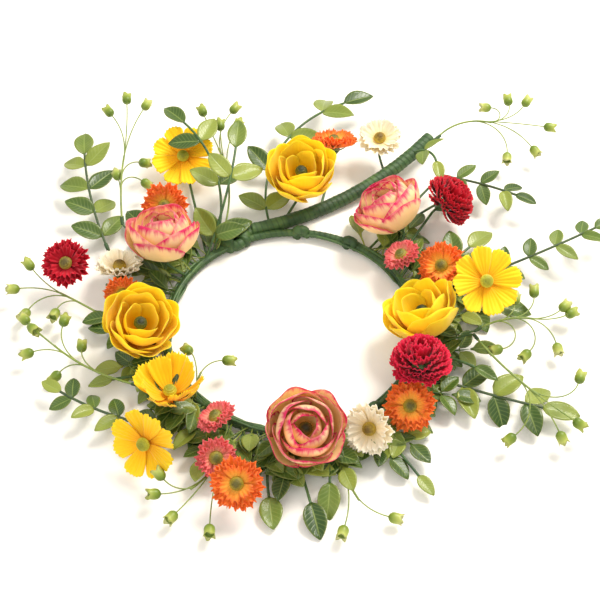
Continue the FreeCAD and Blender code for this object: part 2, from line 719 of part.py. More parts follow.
LEAVES = {
    "leaf": leaf_blank("leaf", "leaf_length", "leaf_width"),
    "small_leaf": leaf_blank("small_leaf", "small_leaf_length", "small_leaf_width"),
}
BUD = bud("bud")


def leaf_placement(root, heading, side, roll):
    """A leaf that grows from root, between heading and side, rolled about heading by some degrees."""
    lift = unit(side.cross(heading))
    if lift.z < 0:
        lift = lift * -1
    turn = math.radians(roll)
    outward = side * math.cos(turn) + lift * math.sin(turn)
    spread = math.radians(LEAF_SPREAD)
    along = unit(heading * math.cos(spread) + outward * math.sin(spread))
    normal = unit(lift - along * lift.dot(along))
    spin = FreeCAD.Rotation(along, normal.cross(along), normal, "XZY")
    return FreeCAD.Placement(root + outward * (size("twig_diameter") / 2 - size("stem_sink")), spin)


def leaf_copies(label, arc, pairs, leaf):
    """Opposite pairs of leaves along a twig, and one leaf at its tip."""
    copies = []
    for pair in range(pairs):
        point, heading = point_on(arc, (pair + FIRST_PAIR) / pairs)
        level = unit(heading.cross(UP))
        for hand in (1, -1):
            roll = LEAF_ROLL * math.sin(math.radians(GOLDEN_ANGLE * len(copies)))
            placement = leaf_placement(point, heading, level * hand, roll)
            copies.append(copy_of(LEAVES[leaf], f"{label}_leaf_{len(copies) + 1}", placement))
    tip, heading = point_on(arc, 1)
    across = unit(UP.cross(heading))
    spin = FreeCAD.Rotation(heading, across, heading.cross(across), "XZY")
    placement = FreeCAD.Placement(tip - heading * size("stem_sink"), spin)
    copies.append(copy_of(LEAVES[leaf], f"{label}_leaf_{len(copies) + 1}", placement))
    return copies


def bud_copies(label, arc, buds):
    """The thin branches of a spray, each ending in a bud that points on along it."""
    pieces = []
    for number, (share, place) in enumerate(buds, start=1):
        point, heading = point_on(arc, share)
        branch = arc_from(point, heading, at(place))
        pieces.append(tube(f"{label}_branch_{number}", branch, "spray_branch_diameter"))
        end, way = point_on(branch, 1)
        pieces.append(copy_of(BUD, f"{label}_bud_{number}", facing(way, end)))
    return pieces


def fixed_arc(row):
    """The arc of a twig or spray that is bound straight to its carrier."""
    point, radius = foot_place(row[1], row[2])
    return arc_through(point, at(row[3]), at(row[4])), radius


def twig_stems(rows):
    """The stems of the twigs that are bound straight to their carrier."""
    stems = []
    for row in rows:
        arc, radius = fixed_arc(row)
        stems.append(tube(f"{row[0]}_stem", trimmed(arc, radius - size("stem_sink"), 0), "twig_diameter"))
    return stems


def twig_leaves(rows):
    """The leaves of the same twigs."""
    return [leaf for row in rows for leaf in leaf_copies(row[0], fixed_arc(row)[0], row[5], row[6])]


def fixed_spray(row):
    """A spray that is bound straight to its carrier."""
    arc, radius = fixed_arc(row)
    stem = tube(f"{row[0]}_stem", trimmed(arc, radius - size("stem_sink"), 0), "spray_diameter")
    return [stem] + bud_copies(row[0], arc, row[5])


def bending_arc(row):
    """The arc of a free stem, from its bend to its tip."""
    return arc_through(at(row[3]), at(row[4]), at(row[5]))


def moving_stem(label, row, diameter):
    return tube(label, trimmed(bending_arc(row), size("bend_gap"), 0), diameter)


def free_foot(row, diameter):
    """The fixed stem under a twig or spray that bends."""
    bend, heading = point_on(bending_arc(row), 0)
    return foot_stem(f"{row[0]}_foot", bend, heading * -1, row[1], row[2], diameter)


# ---------------------------------------------------------------- the hoop and the back branch


def ring(label, out, diameter_terms, start=0, sweep=FULL_TURN):
    """A tube round the hoop's own centre, at a distance out from its centre line."""
    torus = doc.addObject("Part::Torus", label)
    torus.Label = label
    torus.setExpression("Radius1", f"sizes.hoop_diameter / 2 + {term_expression(out)}")
    torus.setExpression("Radius2", f"({term_expression(diameter_terms)}) / 2")
    torus.Angle3 = sweep
    torus.Placement = FreeCAD.Placement(V(0, 0, 0), FreeCAD.Rotation(UP, start))
    return torus


def hoop_pieces():
    """The steel hoop and the paper tape wound on it."""
    wire = ring("hoop_wire", ON_LINE, [("wire_diameter", 1)])
    outside = ring("hoop_tape_outside", ON_LINE, [("hoop_tape_diameter", 1)])
    bore = ring("hoop_tape_bore", ON_LINE, [("wire_diameter", 1), ("seat_clearance", 2)])
    return [wire, sleeve("hoop_tape", outside, bore)]


def stem_band(label, middle):
    """One tape band round the hoop. Its width is a cell of the sheet."""
    width = size("band_angle")
    start = middle - width / 2
    outside = ring(f"{label}_outside", ON_LINE, [("band_diameter", 1)], start, width)
    grip = [("hoop_tape_diameter", 1), ("seat_clearance", 2)]
    return sleeve(label, outside, ring(f"{label}_bore", ON_LINE, grip, start, width))


def branch_band(label, middle):
    """One wider band that ties the root of the back branch to the hoop."""
    width = size("band_angle")
    start = middle - width / 2
    wraps = []
    for step, share in enumerate(WRAP_SHARES):
        out = [(alias, part * share) for alias, part in BRANCH_OUT]
        wraps.append(ring(f"{label}_wrap_{step}", out, [("band_diameter", 1)], start, width))
    outside = doc.addObject("Part::MultiFuse", f"{label}_outside")
    outside.Shapes = wraps
    grip = [("hoop_tape_diameter", 1), ("seat_clearance", 2)]
    on_hoop = sleeve(f"{label}_on_hoop", outside, ring(f"{label}_bore", ON_LINE, grip, start, width))
    branch_grip = [("branch_diameter", 1), ("seat_clearance", 2)]
    return sleeve(label, on_hoop, ring(f"{label}_branch_bore", BRANCH_OUT, branch_grip, start, width))


def branch_root():
    """The part of the back branch that is bound along the hoop."""
    reach = HOOP_RADIUS + term_value(BRANCH_OUT)
    start = size("branch_root_end") + math.degrees(size("branch_bend_gap") / reach)
    sweep = size("branch_root_start") - start
    return ring("branch_root", BRANCH_OUT, [("branch_diameter", 1)], start, sweep)


def branch_pieces():
    """The free part of the back branch: a bundle of wires in tape."""
    arc = trimmed(BRANCH_ARC, size("branch_bend_gap"), 0)
    inner = trimmed(arc, 0, size("branch_diameter") / 2)
    wires = tube("branch_wires", inner, "branch_wire_diameter")
    outside = tube("branch_tape_outside", arc, "branch_diameter")
    bore = tube("branch_tape_bore", inner, "branch_wire_diameter")
    bore.setExpression("Radius2", "sizes.branch_wire_diameter / 2 + sizes.seat_clearance")
    return [wires, sleeve("branch_tape", outside, bore)]


# ---------------------------------------------------------------- the whole crown

BAND_ANGLES = [86, 61, 6, -22.5, -52, -81, -126.5, -161.5, -177.5]
BRANCH_BAND_ANGLES = [118]


def on(carrier, rows):
    """The rows that a carrier holds. The carrier is named just before the foot in every row."""
    return [row for row in rows if carrier in row]


def eyes(rows):
    return [flower_eye(f"{row[0]}_eye", row) for row in rows if row[1] in EYE_SEATS]


def fixed_stems(rows):
    return [piece for row in rows for piece in fixed_stem(row)]


def hoop_feet():
    """The fixed stems under everything that bends and is planted on the hoop."""
    feet = [free_foot(row, "twig_diameter") for row in BENDING_TWIGS]
    feet += [free_foot(row, "spray_diameter") for row in on("hoop", BENDING_SPRAYS)]
    for row in NODDING_FLOWERS:
        label, carrier, foot, bend = f"{row[0]}_foot", row[5], row[6], at(row[7])
        feet.append(foot_stem(label, bend, neck_heading(row), carrier, foot, "flower_stem_diameter"))
    return [piece for wire in feet for piece in wire]


def crown_nodes():
    """Everything that is bound to the hoop."""
    fixed = on("hoop", FLOWERS)
    bands = [stem_band(f"band_{number}", angle) for number, angle in enumerate(BAND_ANGLES, start=1)]
    bands += [branch_band("branch_band", angle) for angle in BRANCH_BAND_ANGLES]
    sprays = [piece for row in FILLER_SPRAYS for piece in fixed_spray(row)]
    return hoop_pieces() + [flower_head(row) for row in fixed] + [
        branch_root(),
        group("tape_bands", bands),
        group("flower_eyes", eyes(fixed)),
        group("flower_stems", fixed_stems(fixed)),
        group("stem_feet", hoop_feet() + twig_stems(FILLER_TWIGS)),
        group("filler_leaves", twig_leaves(FILLER_TWIGS)),
        group("filler_sprays", sprays),
    ]


def branch_nodes():
    """Everything that moves with the back branch."""
    carried = on("branch", FLOWERS)
    feet = [piece for row in on("branch", BENDING_SPRAYS) for piece in free_foot(row, "spray_diameter")]
    return branch_pieces() + [flower_head(row) for row in carried] + [
        group("branch_flower_eyes", eyes(carried)),
        group("branch_flower_stems", fixed_stems(carried) + feet + twig_stems(BRANCH_TWIGS)),
        group("branch_leaves", twig_leaves(BRANCH_TWIGS)),
    ]


def twig_nodes(row):
    name, pairs, leaf = row[0], row[6], row[7]
    leaves = leaf_copies(name, bending_arc(row), pairs, leaf)
    return [moving_stem(f"{name}_stem", row, "twig_diameter"), group(f"{name}_leaves", leaves)]


def spray_nodes(row):
    name = row[0]
    stem = moving_stem(f"{name}_stem", row, "spray_diameter")
    return [group(name, [stem] + bud_copies(name, bending_arc(row), row[6]))]


def nodding_nodes(row):
    pieces = nodding_stem(row)[0]
    return [flower_head(row), group(f"{row[0]}_stem", pieces)] + eyes([row])


def check_and_export(nodes):
    """Stops at the first piece that failed, and otherwise writes every node's solid."""
    doc.recompute()
    for item in doc.Objects:
        if {"Invalid", "Error"} & set(item.State):
            raise RuntimeError(f"{item.Label} failed: {item.State}")
    os.makedirs("parts", exist_ok=True)
    for node in nodes:
        shape = node.Shape
        if shape.isNull() or not shape.isValid() or shape.Volume <= 0:
            raise RuntimeError(f"{node.Label} has no valid solid")
        shape.exportStep(f"parts/{node.Label}.step")


BODIES = {"crown": crown_nodes(), "back_branch": branch_nodes()}
for row in BENDING_TWIGS:
    BODIES[row[0]] = twig_nodes(row)
for row in BENDING_SPRAYS:
    BODIES[row[0]] = spray_nodes(row)
for row in NODDING_FLOWERS:
    BODIES[row[0]] = nodding_nodes(row)
NODES = [node for nodes in BODIES.values() for node in nodes]
check_and_export(NODES)
print(f"{len(NODES)} nodes in {len(BODIES)} bodies")
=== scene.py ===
# %% [markdown]
# # A flower crown of cloth flowers on a taped wire hoop
#
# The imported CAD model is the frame. It says where each flower stands, how large it is and which way it
# faces, where each leaf and bud grows, and which pieces move. This lesson dresses that frame: every
# flower becomes a set of thin curved petals, every flat leaf blank a folded and ribbed leaf, every plain
# cup a bud with a lobed lip, and the smooth tape a spiral winding. Nothing in the frame is moved.

import json

import bpy
import numpy as np
from mathutils import Matrix

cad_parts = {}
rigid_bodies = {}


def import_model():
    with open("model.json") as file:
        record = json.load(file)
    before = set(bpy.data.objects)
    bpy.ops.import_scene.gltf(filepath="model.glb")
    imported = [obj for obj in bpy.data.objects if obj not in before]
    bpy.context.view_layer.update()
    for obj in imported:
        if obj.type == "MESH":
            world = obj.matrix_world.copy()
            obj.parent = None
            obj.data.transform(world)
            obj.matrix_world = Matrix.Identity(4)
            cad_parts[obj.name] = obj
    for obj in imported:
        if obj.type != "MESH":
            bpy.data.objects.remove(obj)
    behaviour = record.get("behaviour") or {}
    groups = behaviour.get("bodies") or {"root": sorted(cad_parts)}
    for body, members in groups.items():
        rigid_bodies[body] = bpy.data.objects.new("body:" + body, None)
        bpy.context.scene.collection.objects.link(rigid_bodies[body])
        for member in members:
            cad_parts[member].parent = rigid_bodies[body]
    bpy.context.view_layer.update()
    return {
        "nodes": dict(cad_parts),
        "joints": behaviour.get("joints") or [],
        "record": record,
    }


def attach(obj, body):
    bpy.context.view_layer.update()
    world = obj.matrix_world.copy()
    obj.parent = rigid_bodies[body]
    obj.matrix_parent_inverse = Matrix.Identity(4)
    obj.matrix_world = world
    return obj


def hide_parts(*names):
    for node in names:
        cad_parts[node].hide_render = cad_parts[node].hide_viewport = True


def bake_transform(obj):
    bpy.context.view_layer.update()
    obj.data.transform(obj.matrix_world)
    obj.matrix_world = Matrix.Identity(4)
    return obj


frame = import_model()
UP = np.array([0.0, 0.0, 1.0])
MM = 0.001
GOLDEN = np.radians(137.5)
CLOTH_THICKNESS = 0.3 * MM
SEPAL_THICKNESS = 0.4 * MM
LEAF_THICKNESS = 0.45 * MM
CLOSED = 0.02  # the share of its radius that a tube keeps where its end closes

# %% [markdown]
# ## Reading places from the frame
#
# A CAD node may hold many separate solids, such as all the leaves of a twig. They are told apart by
# following shared corners, and each is then measured: its middle, its three main directions, longest
# first, and its extent along each. A leaf's longest direction is its rib, and a flower's odd one out is
# the axis that it faces along. Reading places this way keeps the looks tied to the design: when a
# flower is moved in CAD, its petals follow.


# %% Read solids, directions and extents
def unit(vector):
    return vector / np.linalg.norm(vector)


def cad_mesh(node):
    """(corner points, triangles) of a CAD node, with corners at one place made one."""
    mesh = frame["nodes"][node].data
    points = np.empty(len(mesh.vertices) * 3)
    mesh.vertices.foreach_get("co", points)
    mesh.calc_loop_triangles()
    corners = np.empty(len(mesh.loop_triangles) * 3, int)
    mesh.loop_triangles.foreach_get("vertices", corners)
    rounded = np.round(points.reshape(-1, 3), 6)
    points, same = np.unique(rounded, axis=0, return_inverse=True)
    return points, same.reshape(-1)[corners].reshape(-1, 3)


def solids(node):
    """The corner points of each separate solid of a CAD node. Each corner takes the lowest number among
    the triangles round it, again and again, until every solid has one number."""
    points, triangles = cad_mesh(node)
    label = np.arange(len(points))
    while True:
        lowest = np.repeat(label[triangles].min(axis=1), 3)
        spread = label.copy()
        np.minimum.at(spread, triangles.ravel(), lowest)
        spread = spread[spread]
        if (spread == label).all():
            return [points[label == number] for number in np.unique(label)]
        label = spread


def measure(points):
    """(middle, main directions from longest to shortest, extents, spread along each)."""
    middle = points.mean(axis=0)
    spread, vectors = np.linalg.eigh(np.cov((points - middle).T))
    axes = vectors.T[::-1]
    along = (points - middle) @ axes.T
    middle = middle + (along.min(axis=0) + along.max(axis=0)) / 2 @ axes
    return middle, axes, np.ptp(along, axis=0), spread[::-1]


def turning_axis(points):
    """The axis of a solid of revolution: the main direction whose spread is unlike the other two."""
    _, axes, _, spread = measure(points)
    return axes[0] if spread[0] - spread[1] > spread[1] - spread[2] else axes[2]


def body_of(node):
    """The CAD body that carries a node."""
    return next(b for b, nodes in frame["record"]["behaviour"]["bodies"].items() if node in nodes)


def nearest(place, places):
    return places[np.linalg.norm(places - place, axis=1).argmin()]


def is_stubby(points):
    """Buds and calyxes are short and round: over 5 mm through and under 10 mm long."""
    extents = measure(points)[2]
    return extents[2] > 5 * MM and extents[0] < 10 * MM


NODES = list(frame["nodes"])
stem_solids = [s for n in NODES if n.endswith(("_stem", "_stems", "_feet")) for s in solids(n)]
calyxes = [s for s in stem_solids if is_stubby(s)]
calyx_places = np.array([measure(s)[0] for s in calyxes])
print(len(calyxes), "calyxes tell which side of a flower is its back")


# %% Find how each flower stands
def flower_frame(node):
    """(base, axis, radius, height) of a flower head. The axis points away from the calyx."""
    points = solids(node)[0]
    middle, axes, extents, _ = measure(points)
    axis = axes[2]
    if axis @ (middle - nearest(middle, calyx_places)) < 0:
        axis = -axis
    return middle - axis * extents[2] / 2, axis, extents[0] / 2, extents[2]


SUFFIXES = ("_stem", "_stems", "_eye", "_eyes")
KINDS = ("ranunculus", "cosmos", "carnation")
heads = [n for n in NODES if any(k in n for k in KINDS) and not n.endswith(SUFFIXES)]
flower_frames = {n: flower_frame(n) for n in heads}
print(len(heads), "flowers, radii in mm:", {n: round(f[2] / MM) for n, f in flower_frames.items()})

# %% [markdown]
# ## Surfaces
#
# Every new piece is one or more surfaces over a two-parameter grid: rows run from root to tip and
# columns from side to side, or round a tube. A whole grid is worked out at once with arrays. The
# helpers here join grids into one mesh and give it a UV map, where U is the place across and V the
# place along, and a number called tone that makes each petal or leaf a little different.


# %% Grids, meshes and placing
def grid(rows, columns, first=0.0):
    """t runs from first to 1 down the rows, and u from -1 to 1 along the columns."""
    return np.linspace(first, 1, rows)[:, None], np.linspace(-1, 1, columns)[None, :]


def ring(columns):
    """Angles round a tube, whose last column joins its first."""
    return np.linspace(0, 2 * np.pi, columns, endpoint=False)[None, :]


def surface(x, y, z, tone, wrap=False):
    """One surface: its points, its tone, and whether its last column joins its first."""
    x, y, z = np.broadcast_arrays(x, y, z)
    return np.stack([x, y, z], axis=-1), tone, wrap


def turned_frame(axis, turn=0.0):
    """The rotation that takes +Z to axis, with +X level, and then turns about the axis.
    Its rows are the images of X, Y and Z."""
    side = np.cross(UP, axis)
    side = unit(side) if np.linalg.norm(side) > 1e-3 else np.array([1.0, 0, 0])
    other = np.cross(axis, side)
    return np.array([
        side * np.cos(turn) + other * np.sin(turn),
        other * np.cos(turn) - side * np.sin(turn),
        axis,
    ])


def stood(surfaces, base, axis, turn=0.0):
    """Surfaces built round +Z from the origin, stood on base along axis."""
    turned = turned_frame(axis, turn)
    return [(points @ turned + base, tone, wrap) for points, tone, wrap in surfaces]


def quads(rows, columns, wrap):
    """Corner numbers of the quads between neighbouring rows and columns."""
    row = np.arange(rows - 1)[:, None]
    column = np.arange(columns if wrap else columns - 1)[None, :]
    a, b = row * columns + column, row * columns + (column + 1) % columns
    return np.stack([a, b, b + columns, a + columns], axis=-1).reshape(-1, 4)


def piece(name, surfaces, material, body=None, thickness=0.0):
    """One mesh object of many surfaces. A thickness makes thin sheets solid."""
    points, faces, across, tones, start = [], [], [], [], 0
    for place, tone, wrap in surfaces:
        rows, columns = place.shape[:2]
        points.append(place.reshape(-1, 3))
        faces.append(quads(rows, columns, wrap) + start)
        v, u = np.meshgrid(np.linspace(0, 1, rows), np.linspace(0, 1, columns), indexing="ij")
        across.append(np.stack([u, v], axis=-1).reshape(-1, 2))
        tones.append(np.broadcast_to(tone, (rows, columns)).ravel())
        start += rows * columns
    points, faces, across = np.concatenate(points), np.concatenate(faces), np.concatenate(across)
    mesh = bpy.data.meshes.new(name)
    mesh.vertices.add(len(points))
    mesh.vertices.foreach_set("co", points.ravel())
    mesh.loops.add(faces.size)
    mesh.loops.foreach_set("vertex_index", faces.ravel())
    mesh.polygons.add(len(faces))
    mesh.polygons.foreach_set("loop_start", np.arange(0, faces.size, 4))
    mesh.update(calc_edges=True)
    mesh.shade_smooth()
    mesh.uv_layers.new(name="UV").uv.foreach_set("vector", across[faces.ravel()].ravel())
    mesh.attributes.new("tone", "FLOAT", "POINT").data.foreach_set("value", np.concatenate(tones))
    mesh.materials.append(material)
    made = bpy.data.objects.new(name, mesh)
    bpy.context.scene.collection.objects.link(made)
    if thickness:
        solid = made.modifiers.new("thickness", "SOLIDIFY")
        solid.thickness, solid.offset = thickness, 0
    if body:
        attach(made, body)
    return made


# %% [markdown]
# ## Materials
#
# Each material is a small graph of nodes. Petal cloth is paler or darker from root to tip, carries a
# faint woven grain along the petal, and lets some light through. Roses of the peach kind have a
# painted pink edge, which is where U is near either side or V near the tip. Leaves are glossy plastic
# with a paler midrib and side veins that follow U and V.


# %% Node graph helper
def rgb(red, green, blue):
    """A screen colour of 0 to 255 as the linear colour that a shader wants."""
    screen = np.array([red, green, blue]) / 255
    linear = np.where(screen <= 0.04045, screen / 12.92, ((screen + 0.055) / 1.055) ** 2.4)
    return (*linear, 1.0)


class Graph:
    """A material's nodes. Inputs may be sockets, numbers or colours."""

    def __init__(self, name):
        self.material = bpy.data.materials.new(name)
        self.material.use_nodes = True
        self.tree = self.material.node_tree
        self.shader = self.tree.nodes["Principled BSDF"]

    def feed(self, socket, value):
        if isinstance(value, bpy.types.NodeSocket):
            self.tree.links.new(value, socket)
        else:
            socket.default_value = value

    def node(self, kind, inputs=(), **settings):
        made = self.tree.nodes.new(kind)
        for key, value in settings.items():
            setattr(made, key, value)
        for key, value in dict(inputs).items():
            self.feed(made.inputs[key], value)
        return made

    def math(self, operation, first, second=0.0):
        return self.node("ShaderNodeMath", {0: first, 1: second}, operation=operation).outputs[0]

    def mix(self, share, first, second):
        made = self.node("ShaderNodeMix", {0: share, 6: first, 7: second}, data_type="RGBA")
        return made.outputs[2]

    def steps(self, value, stops):
        """A colour ramp: stops are (place, colour)."""
        made = self.node("ShaderNodeValToRGB", {0: value})
        for index, (place, colour) in enumerate(stops):
            stop = made.color_ramp.elements[index] if index < 2 else made.color_ramp.elements.new(place)
            stop.position, stop.color = place, colour
        return made.outputs[0]

    def remap(self, value, low, high, to_low=0.0, to_high=1.0):
        inputs = {0: value, 1: low, 2: high, 3: to_low, 4: to_high}
        return self.node("ShaderNodeMapRange", inputs).outputs[0]

    def noise(self, scale, vector=None, detail=3.0):
        inputs = {"Scale": scale, "Detail": detail}
        inputs["Vector"] = vector or self.place()
        return self.node("ShaderNodeTexNoise", inputs).outputs[0]

    def place(self):
        return self.node("ShaderNodeTexCoord").outputs["Object"]

    def uv(self):
        """(U, V, the UV vector)."""
        vector = self.node("ShaderNodeUVMap", uv_map="UV").outputs[0]
        split = self.node("ShaderNodeSeparateXYZ", {0: vector})
        return split.outputs[0], split.outputs[1], vector

    def tone(self):
        return self.node("ShaderNodeAttribute", attribute_name="tone").outputs["Fac"]

    def side(self, u):
        """0 on the middle line, 1 at either side."""
        return self.math("ABSOLUTE", self.math("SUBTRACT", self.math("MULTIPLY", u, 2.0), 1.0))

    def bump(self, height, strength, distance=MM):
        made = self.node("ShaderNodeBump", {"Height": height, "Strength": strength, "Distance": distance})
        self.feed(self.shader.inputs["Normal"], made.outputs[0])

    def finish(self, colour, roughness, **inputs):
        self.feed(self.shader.inputs["Base Color"], colour)
        self.feed(self.shader.inputs["Roughness"], roughness)
        for key, value in inputs.items():
            self.feed(self.shader.inputs[key.replace("_", " ")], value)
        return self.material

    def let_light_through(self, colour, share):
        """Mixes in light that comes through from the far side."""
        through = self.node("ShaderNodeBsdfTranslucent", {"Color": colour})
        both = self.node("ShaderNodeMixShader", {0: share, 1: self.shader.outputs[0]})
        self.tree.links.new(through.outputs[0], both.inputs[2])
        self.tree.links.new(both.outputs[0], self.tree.nodes["Material Output"].inputs[0])


# %% Petal cloth
def petal_cloth(name, root, body, tip, edge=None, spread=0.12, thin=0.28):
    """Cloth whose colour runs root, body, tip along V, a little lighter or darker from petal to petal.
    edge is a painted rim: V over about 0.85 or U near a side. thin is the share of light let through."""
    g = Graph(name)
    u, v, uv = g.uv()
    streaks = g.node("ShaderNodeMapping", {"Vector": uv, "Scale": (26.0, 1.6, 1.0)}).outputs[0]
    grain = g.noise(1.0, streaks, 4.0)
    blotch = g.noise(90.0)
    along = g.math("ADD", v, g.math("MULTIPLY", g.math("SUBTRACT", grain, 0.5), 0.35))
    colour = g.steps(along, [(0.05, root), (1.0, tip), (0.5, body)])
    if edge:
        side = g.math("POWER", g.side(u), 9.0)
        rim = g.math("MAXIMUM", g.math("MULTIPLY", side, g.remap(v, 0.35, 0.8)), g.math("POWER", v, 6.5))
        wash = g.math("ADD", rim, g.math("MULTIPLY", g.math("SUBTRACT", grain, 0.55), 1.3))
        wash = g.math("MULTIPLY", g.remap(wash, 0.3, 0.75), g.remap(blotch, 0.3, 0.55, 0.45, 1.0))
        colour = g.mix(wash, colour, edge)
    value = g.math("ADD", g.math("MULTIPLY", g.tone(), spread), g.math("MULTIPLY", blotch, 0.12))
    shaded = g.node("ShaderNodeHueSaturation", {"Color": colour, "Value": g.math("ADD", value, 0.92)})
    weave = g.noise(1400.0, None, 1.0)
    g.bump(g.math("ADD", g.math("MULTIPLY", grain, 0.8), g.math("MULTIPLY", weave, 0.2)), 0.35, 0.4 * MM)
    made = g.finish(shaded.outputs[0], 0.62, Sheen_Weight=0.25, Specular_IOR_Level=0.25)
    g.let_light_through(shaded.outputs[0], thin)
    return made


CLOTH = {
    # painted shade: the deep orange-yellow root of the yellow rose stands for the shade deep in its cup
    "yellow_ranunculus": petal_cloth(
        "yellow_rose_cloth", rgb(252, 190, 6), rgb(255, 222, 14), rgb(255, 238, 50), thin=0.4
    ),
    "pink_ranunculus": petal_cloth(
        "peach_rose_cloth", rgb(252, 216, 118), rgb(255, 236, 172), rgb(255, 228, 190),
        edge=rgb(226, 50, 112), thin=0.42,
    ),
    "yellow_cosmos": petal_cloth("cosmos_cloth", rgb(250, 170, 2), rgb(255, 208, 6), rgb(255, 226, 36)),
    "red_carnation_left": petal_cloth("red_cloth", rgb(130, 0, 16), rgb(190, 0, 32), rgb(216, 10, 48)),
    "red_carnation_back": petal_cloth("deep_red_cloth", rgb(130, 0, 12), rgb(188, 0, 26), rgb(214, 10, 42)),
    "red_carnation_right": petal_cloth("crimson_cloth", rgb(150, 0, 24), rgb(206, 6, 44), rgb(232, 24, 70)),
    "orange_carnation": petal_cloth("orange_cloth", rgb(255, 216, 96), rgb(255, 180, 66), rgb(248, 124, 44)),
    "white_carnation": petal_cloth("cream_cloth", rgb(232, 206, 110), rgb(252, 240, 208), rgb(255, 250, 234)),
    "pink_carnation": petal_cloth("salmon_cloth", rgb(254, 214, 150), rgb(252, 172, 146), rgb(240, 112, 118)),
}
print(len(CLOTH), "petal cloths")


# %% Leaves, stems, tape, buds and eyes
def leaf_plastic():
    """Glossy plastic: olive to yellow green from leaf to leaf, a pale midrib at U 0.5 and side veins
    along lines of V + 0.5 |U - 0.5|."""
    g = Graph("leaf_plastic")
    u, v, _ = g.uv()
    side = g.side(u)
    tone = g.math("ADD", g.tone(), g.math("MULTIPLY", g.math("SUBTRACT", g.noise(60.0), 0.5), 0.5))
    colour = g.steps(tone, [(0.0, rgb(50, 80, 26)), (1.0, rgb(156, 168, 70)), (0.45, rgb(88, 116, 40))])
    rib = g.remap(side, 0.10, 0.03)
    slant = g.math("SUBTRACT", v, g.math("MULTIPLY", side, 0.22))
    veins = g.math("POWER", g.math("ABSOLUTE", g.math("SINE", g.math("MULTIPLY", slant, 26.0))), 14.0)
    lines = g.math("MAXIMUM", rib, g.math("MULTIPLY", veins, 0.35))
    colour = g.mix(g.math("MULTIPLY", lines, 0.55), colour, rgb(164, 182, 96))
    rim = g.math("MULTIPLY", g.math("POWER", side, 10.0), 0.5)
    colour = g.mix(rim, colour, rgb(150, 160, 70))
    g.bump(g.math("SUBTRACT", g.noise(160.0), lines), 0.45, 0.5 * MM)
    made = g.finish(colour, g.remap(g.noise(40.0), 0.3, 0.7, 0.28, 0.46), Coat_Weight=0.15)
    g.let_light_through(colour, 0.22)
    return made


def stem_plastic(name, dark, light):
    """Green plastic or covered wire, mottled at two scales."""
    g = Graph(name)
    mottle = g.math("ADD", g.math("MULTIPLY", g.noise(120.0), 0.6), g.math("MULTIPLY", g.noise(900.0), 0.4))
    colour = g.mix(g.remap(mottle, 0.35, 0.65), dark, light)
    g.bump(g.noise(1500.0), 0.3, 0.3 * MM)
    return g.finish(colour, 0.42)


def crepe_tape():
    """Waxed paper tape: fine creases across the strip, and painted shade in the step at the edge of each
    turn, which is where the tone of a winding is near 1."""
    g = Graph("crepe_tape")
    lap = g.tone()
    inputs = {"Vector": g.place(), "Scale": (700.0, 700.0, 2400.0)}
    creases = g.noise(1.0, g.node("ShaderNodeMapping", inputs).outputs[0])
    mottle = g.noise(70.0)
    colour = g.steps(mottle, [(0.3, rgb(34, 62, 30)), (0.72, rgb(78, 108, 52)), (0.5, rgb(50, 82, 38))])
    # painted shade: darker in the step where one turn of tape laps the next
    colour = g.mix(g.math("MULTIPLY", lap, 0.55), colour, rgb(24, 44, 22))
    g.bump(creases, 0.6, 0.5 * MM)
    return g.finish(colour, 0.56)


def bud_plastic():
    """Bud cups: green at the foot (V 0), yellow green, and a cream lip (V 1)."""
    g = Graph("bud_plastic")
    _, v, _ = g.uv()
    along = g.math("ADD", v, g.math("MULTIPLY", g.math("SUBTRACT", g.tone(), 0.5), 0.22))
    stops = [(0.0, rgb(92, 122, 36)), (1.0, rgb(246, 240, 204)),
             (0.3, rgb(138, 160, 54)), (0.6, rgb(196, 204, 104))]
    colour = g.steps(along, stops)
    g.bump(g.noise(500.0), 0.2, 0.3 * MM)
    made = g.finish(colour, 0.4)
    g.let_light_through(colour, 0.25)
    return made


def eye_plastic(name, low, high):
    """A moulded flower centre, dark at its top and paler towards its rim, with painted shade where its
    speckled relief sinks.
    """
    g = Graph(name)
    _, v, _ = g.uv()
    relief_and_pit_shade = g.noise(700.0)
    # painted shade: the colour darkens where the speckled relief sinks; the dark top is the centre's own
    # colour
    colour = g.mix(g.remap(g.math("ADD", v, g.math("MULTIPLY", relief_and_pit_shade, 0.6)), 0.5, 1.2), low, high)
    g.bump(relief_and_pit_shade, 0.8, 0.6 * MM)
    return g.finish(colour, 0.55)


LEAF = leaf_plastic()
STEM = stem_plastic("stem_green", rgb(36, 66, 34), rgb(78, 112, 52))
TWIG = stem_plastic("twig_green", rgb(40, 62, 34), rgb(74, 94, 48))
SPRAY = stem_plastic("spray_green", rgb(92, 118, 44), rgb(140, 154, 70))
TAPE = crepe_tape()
BUD = bud_plastic()
EYES = {
    "yellow_ranunculus": eye_plastic("rose_eye", rgb(34, 44, 14), rgb(110, 120, 36)),
    "pink_ranunculus": eye_plastic("peach_rose_eye", rgb(44, 46, 14), rgb(150, 130, 40)),
    "yellow_cosmos": eye_plastic("cosmos_eye", rgb(140, 140, 20), rgb(206, 204, 60)),
    "red": eye_plastic("red_eye", rgb(84, 72, 20), rgb(170, 160, 60)),
    "orange": eye_plastic("orange_eye", rgb(92, 84, 16), rgb(186, 170, 46)),
    "white": eye_plastic("white_eye", rgb(110, 84, 10), rgb(196, 166, 50)),
    "pink_carnation": eye_plastic("salmon_eye", rgb(92, 92, 26), rgb(176, 168, 60)),
}
print("materials:", len(bpy.data.materials))

# %% [markdown]
# ## Petals
#
# Almost every petal here is a patch of a bowl. Going along the petal (v) climbs the side of the bowl, and
# going across it (u) turns about the flower's axis. A small reach gives a flat daisy petal, a quarter
# turn a cup, and more than a quarter turn a rose petal that closes over the middle. Pleats, ruffles and
# teeth are then pushes along the petal's own normal or cuts into its tip. One formula with a few numbers
# gives all the kinds, as one family of steel dies gives all the petals of a real silk flower.


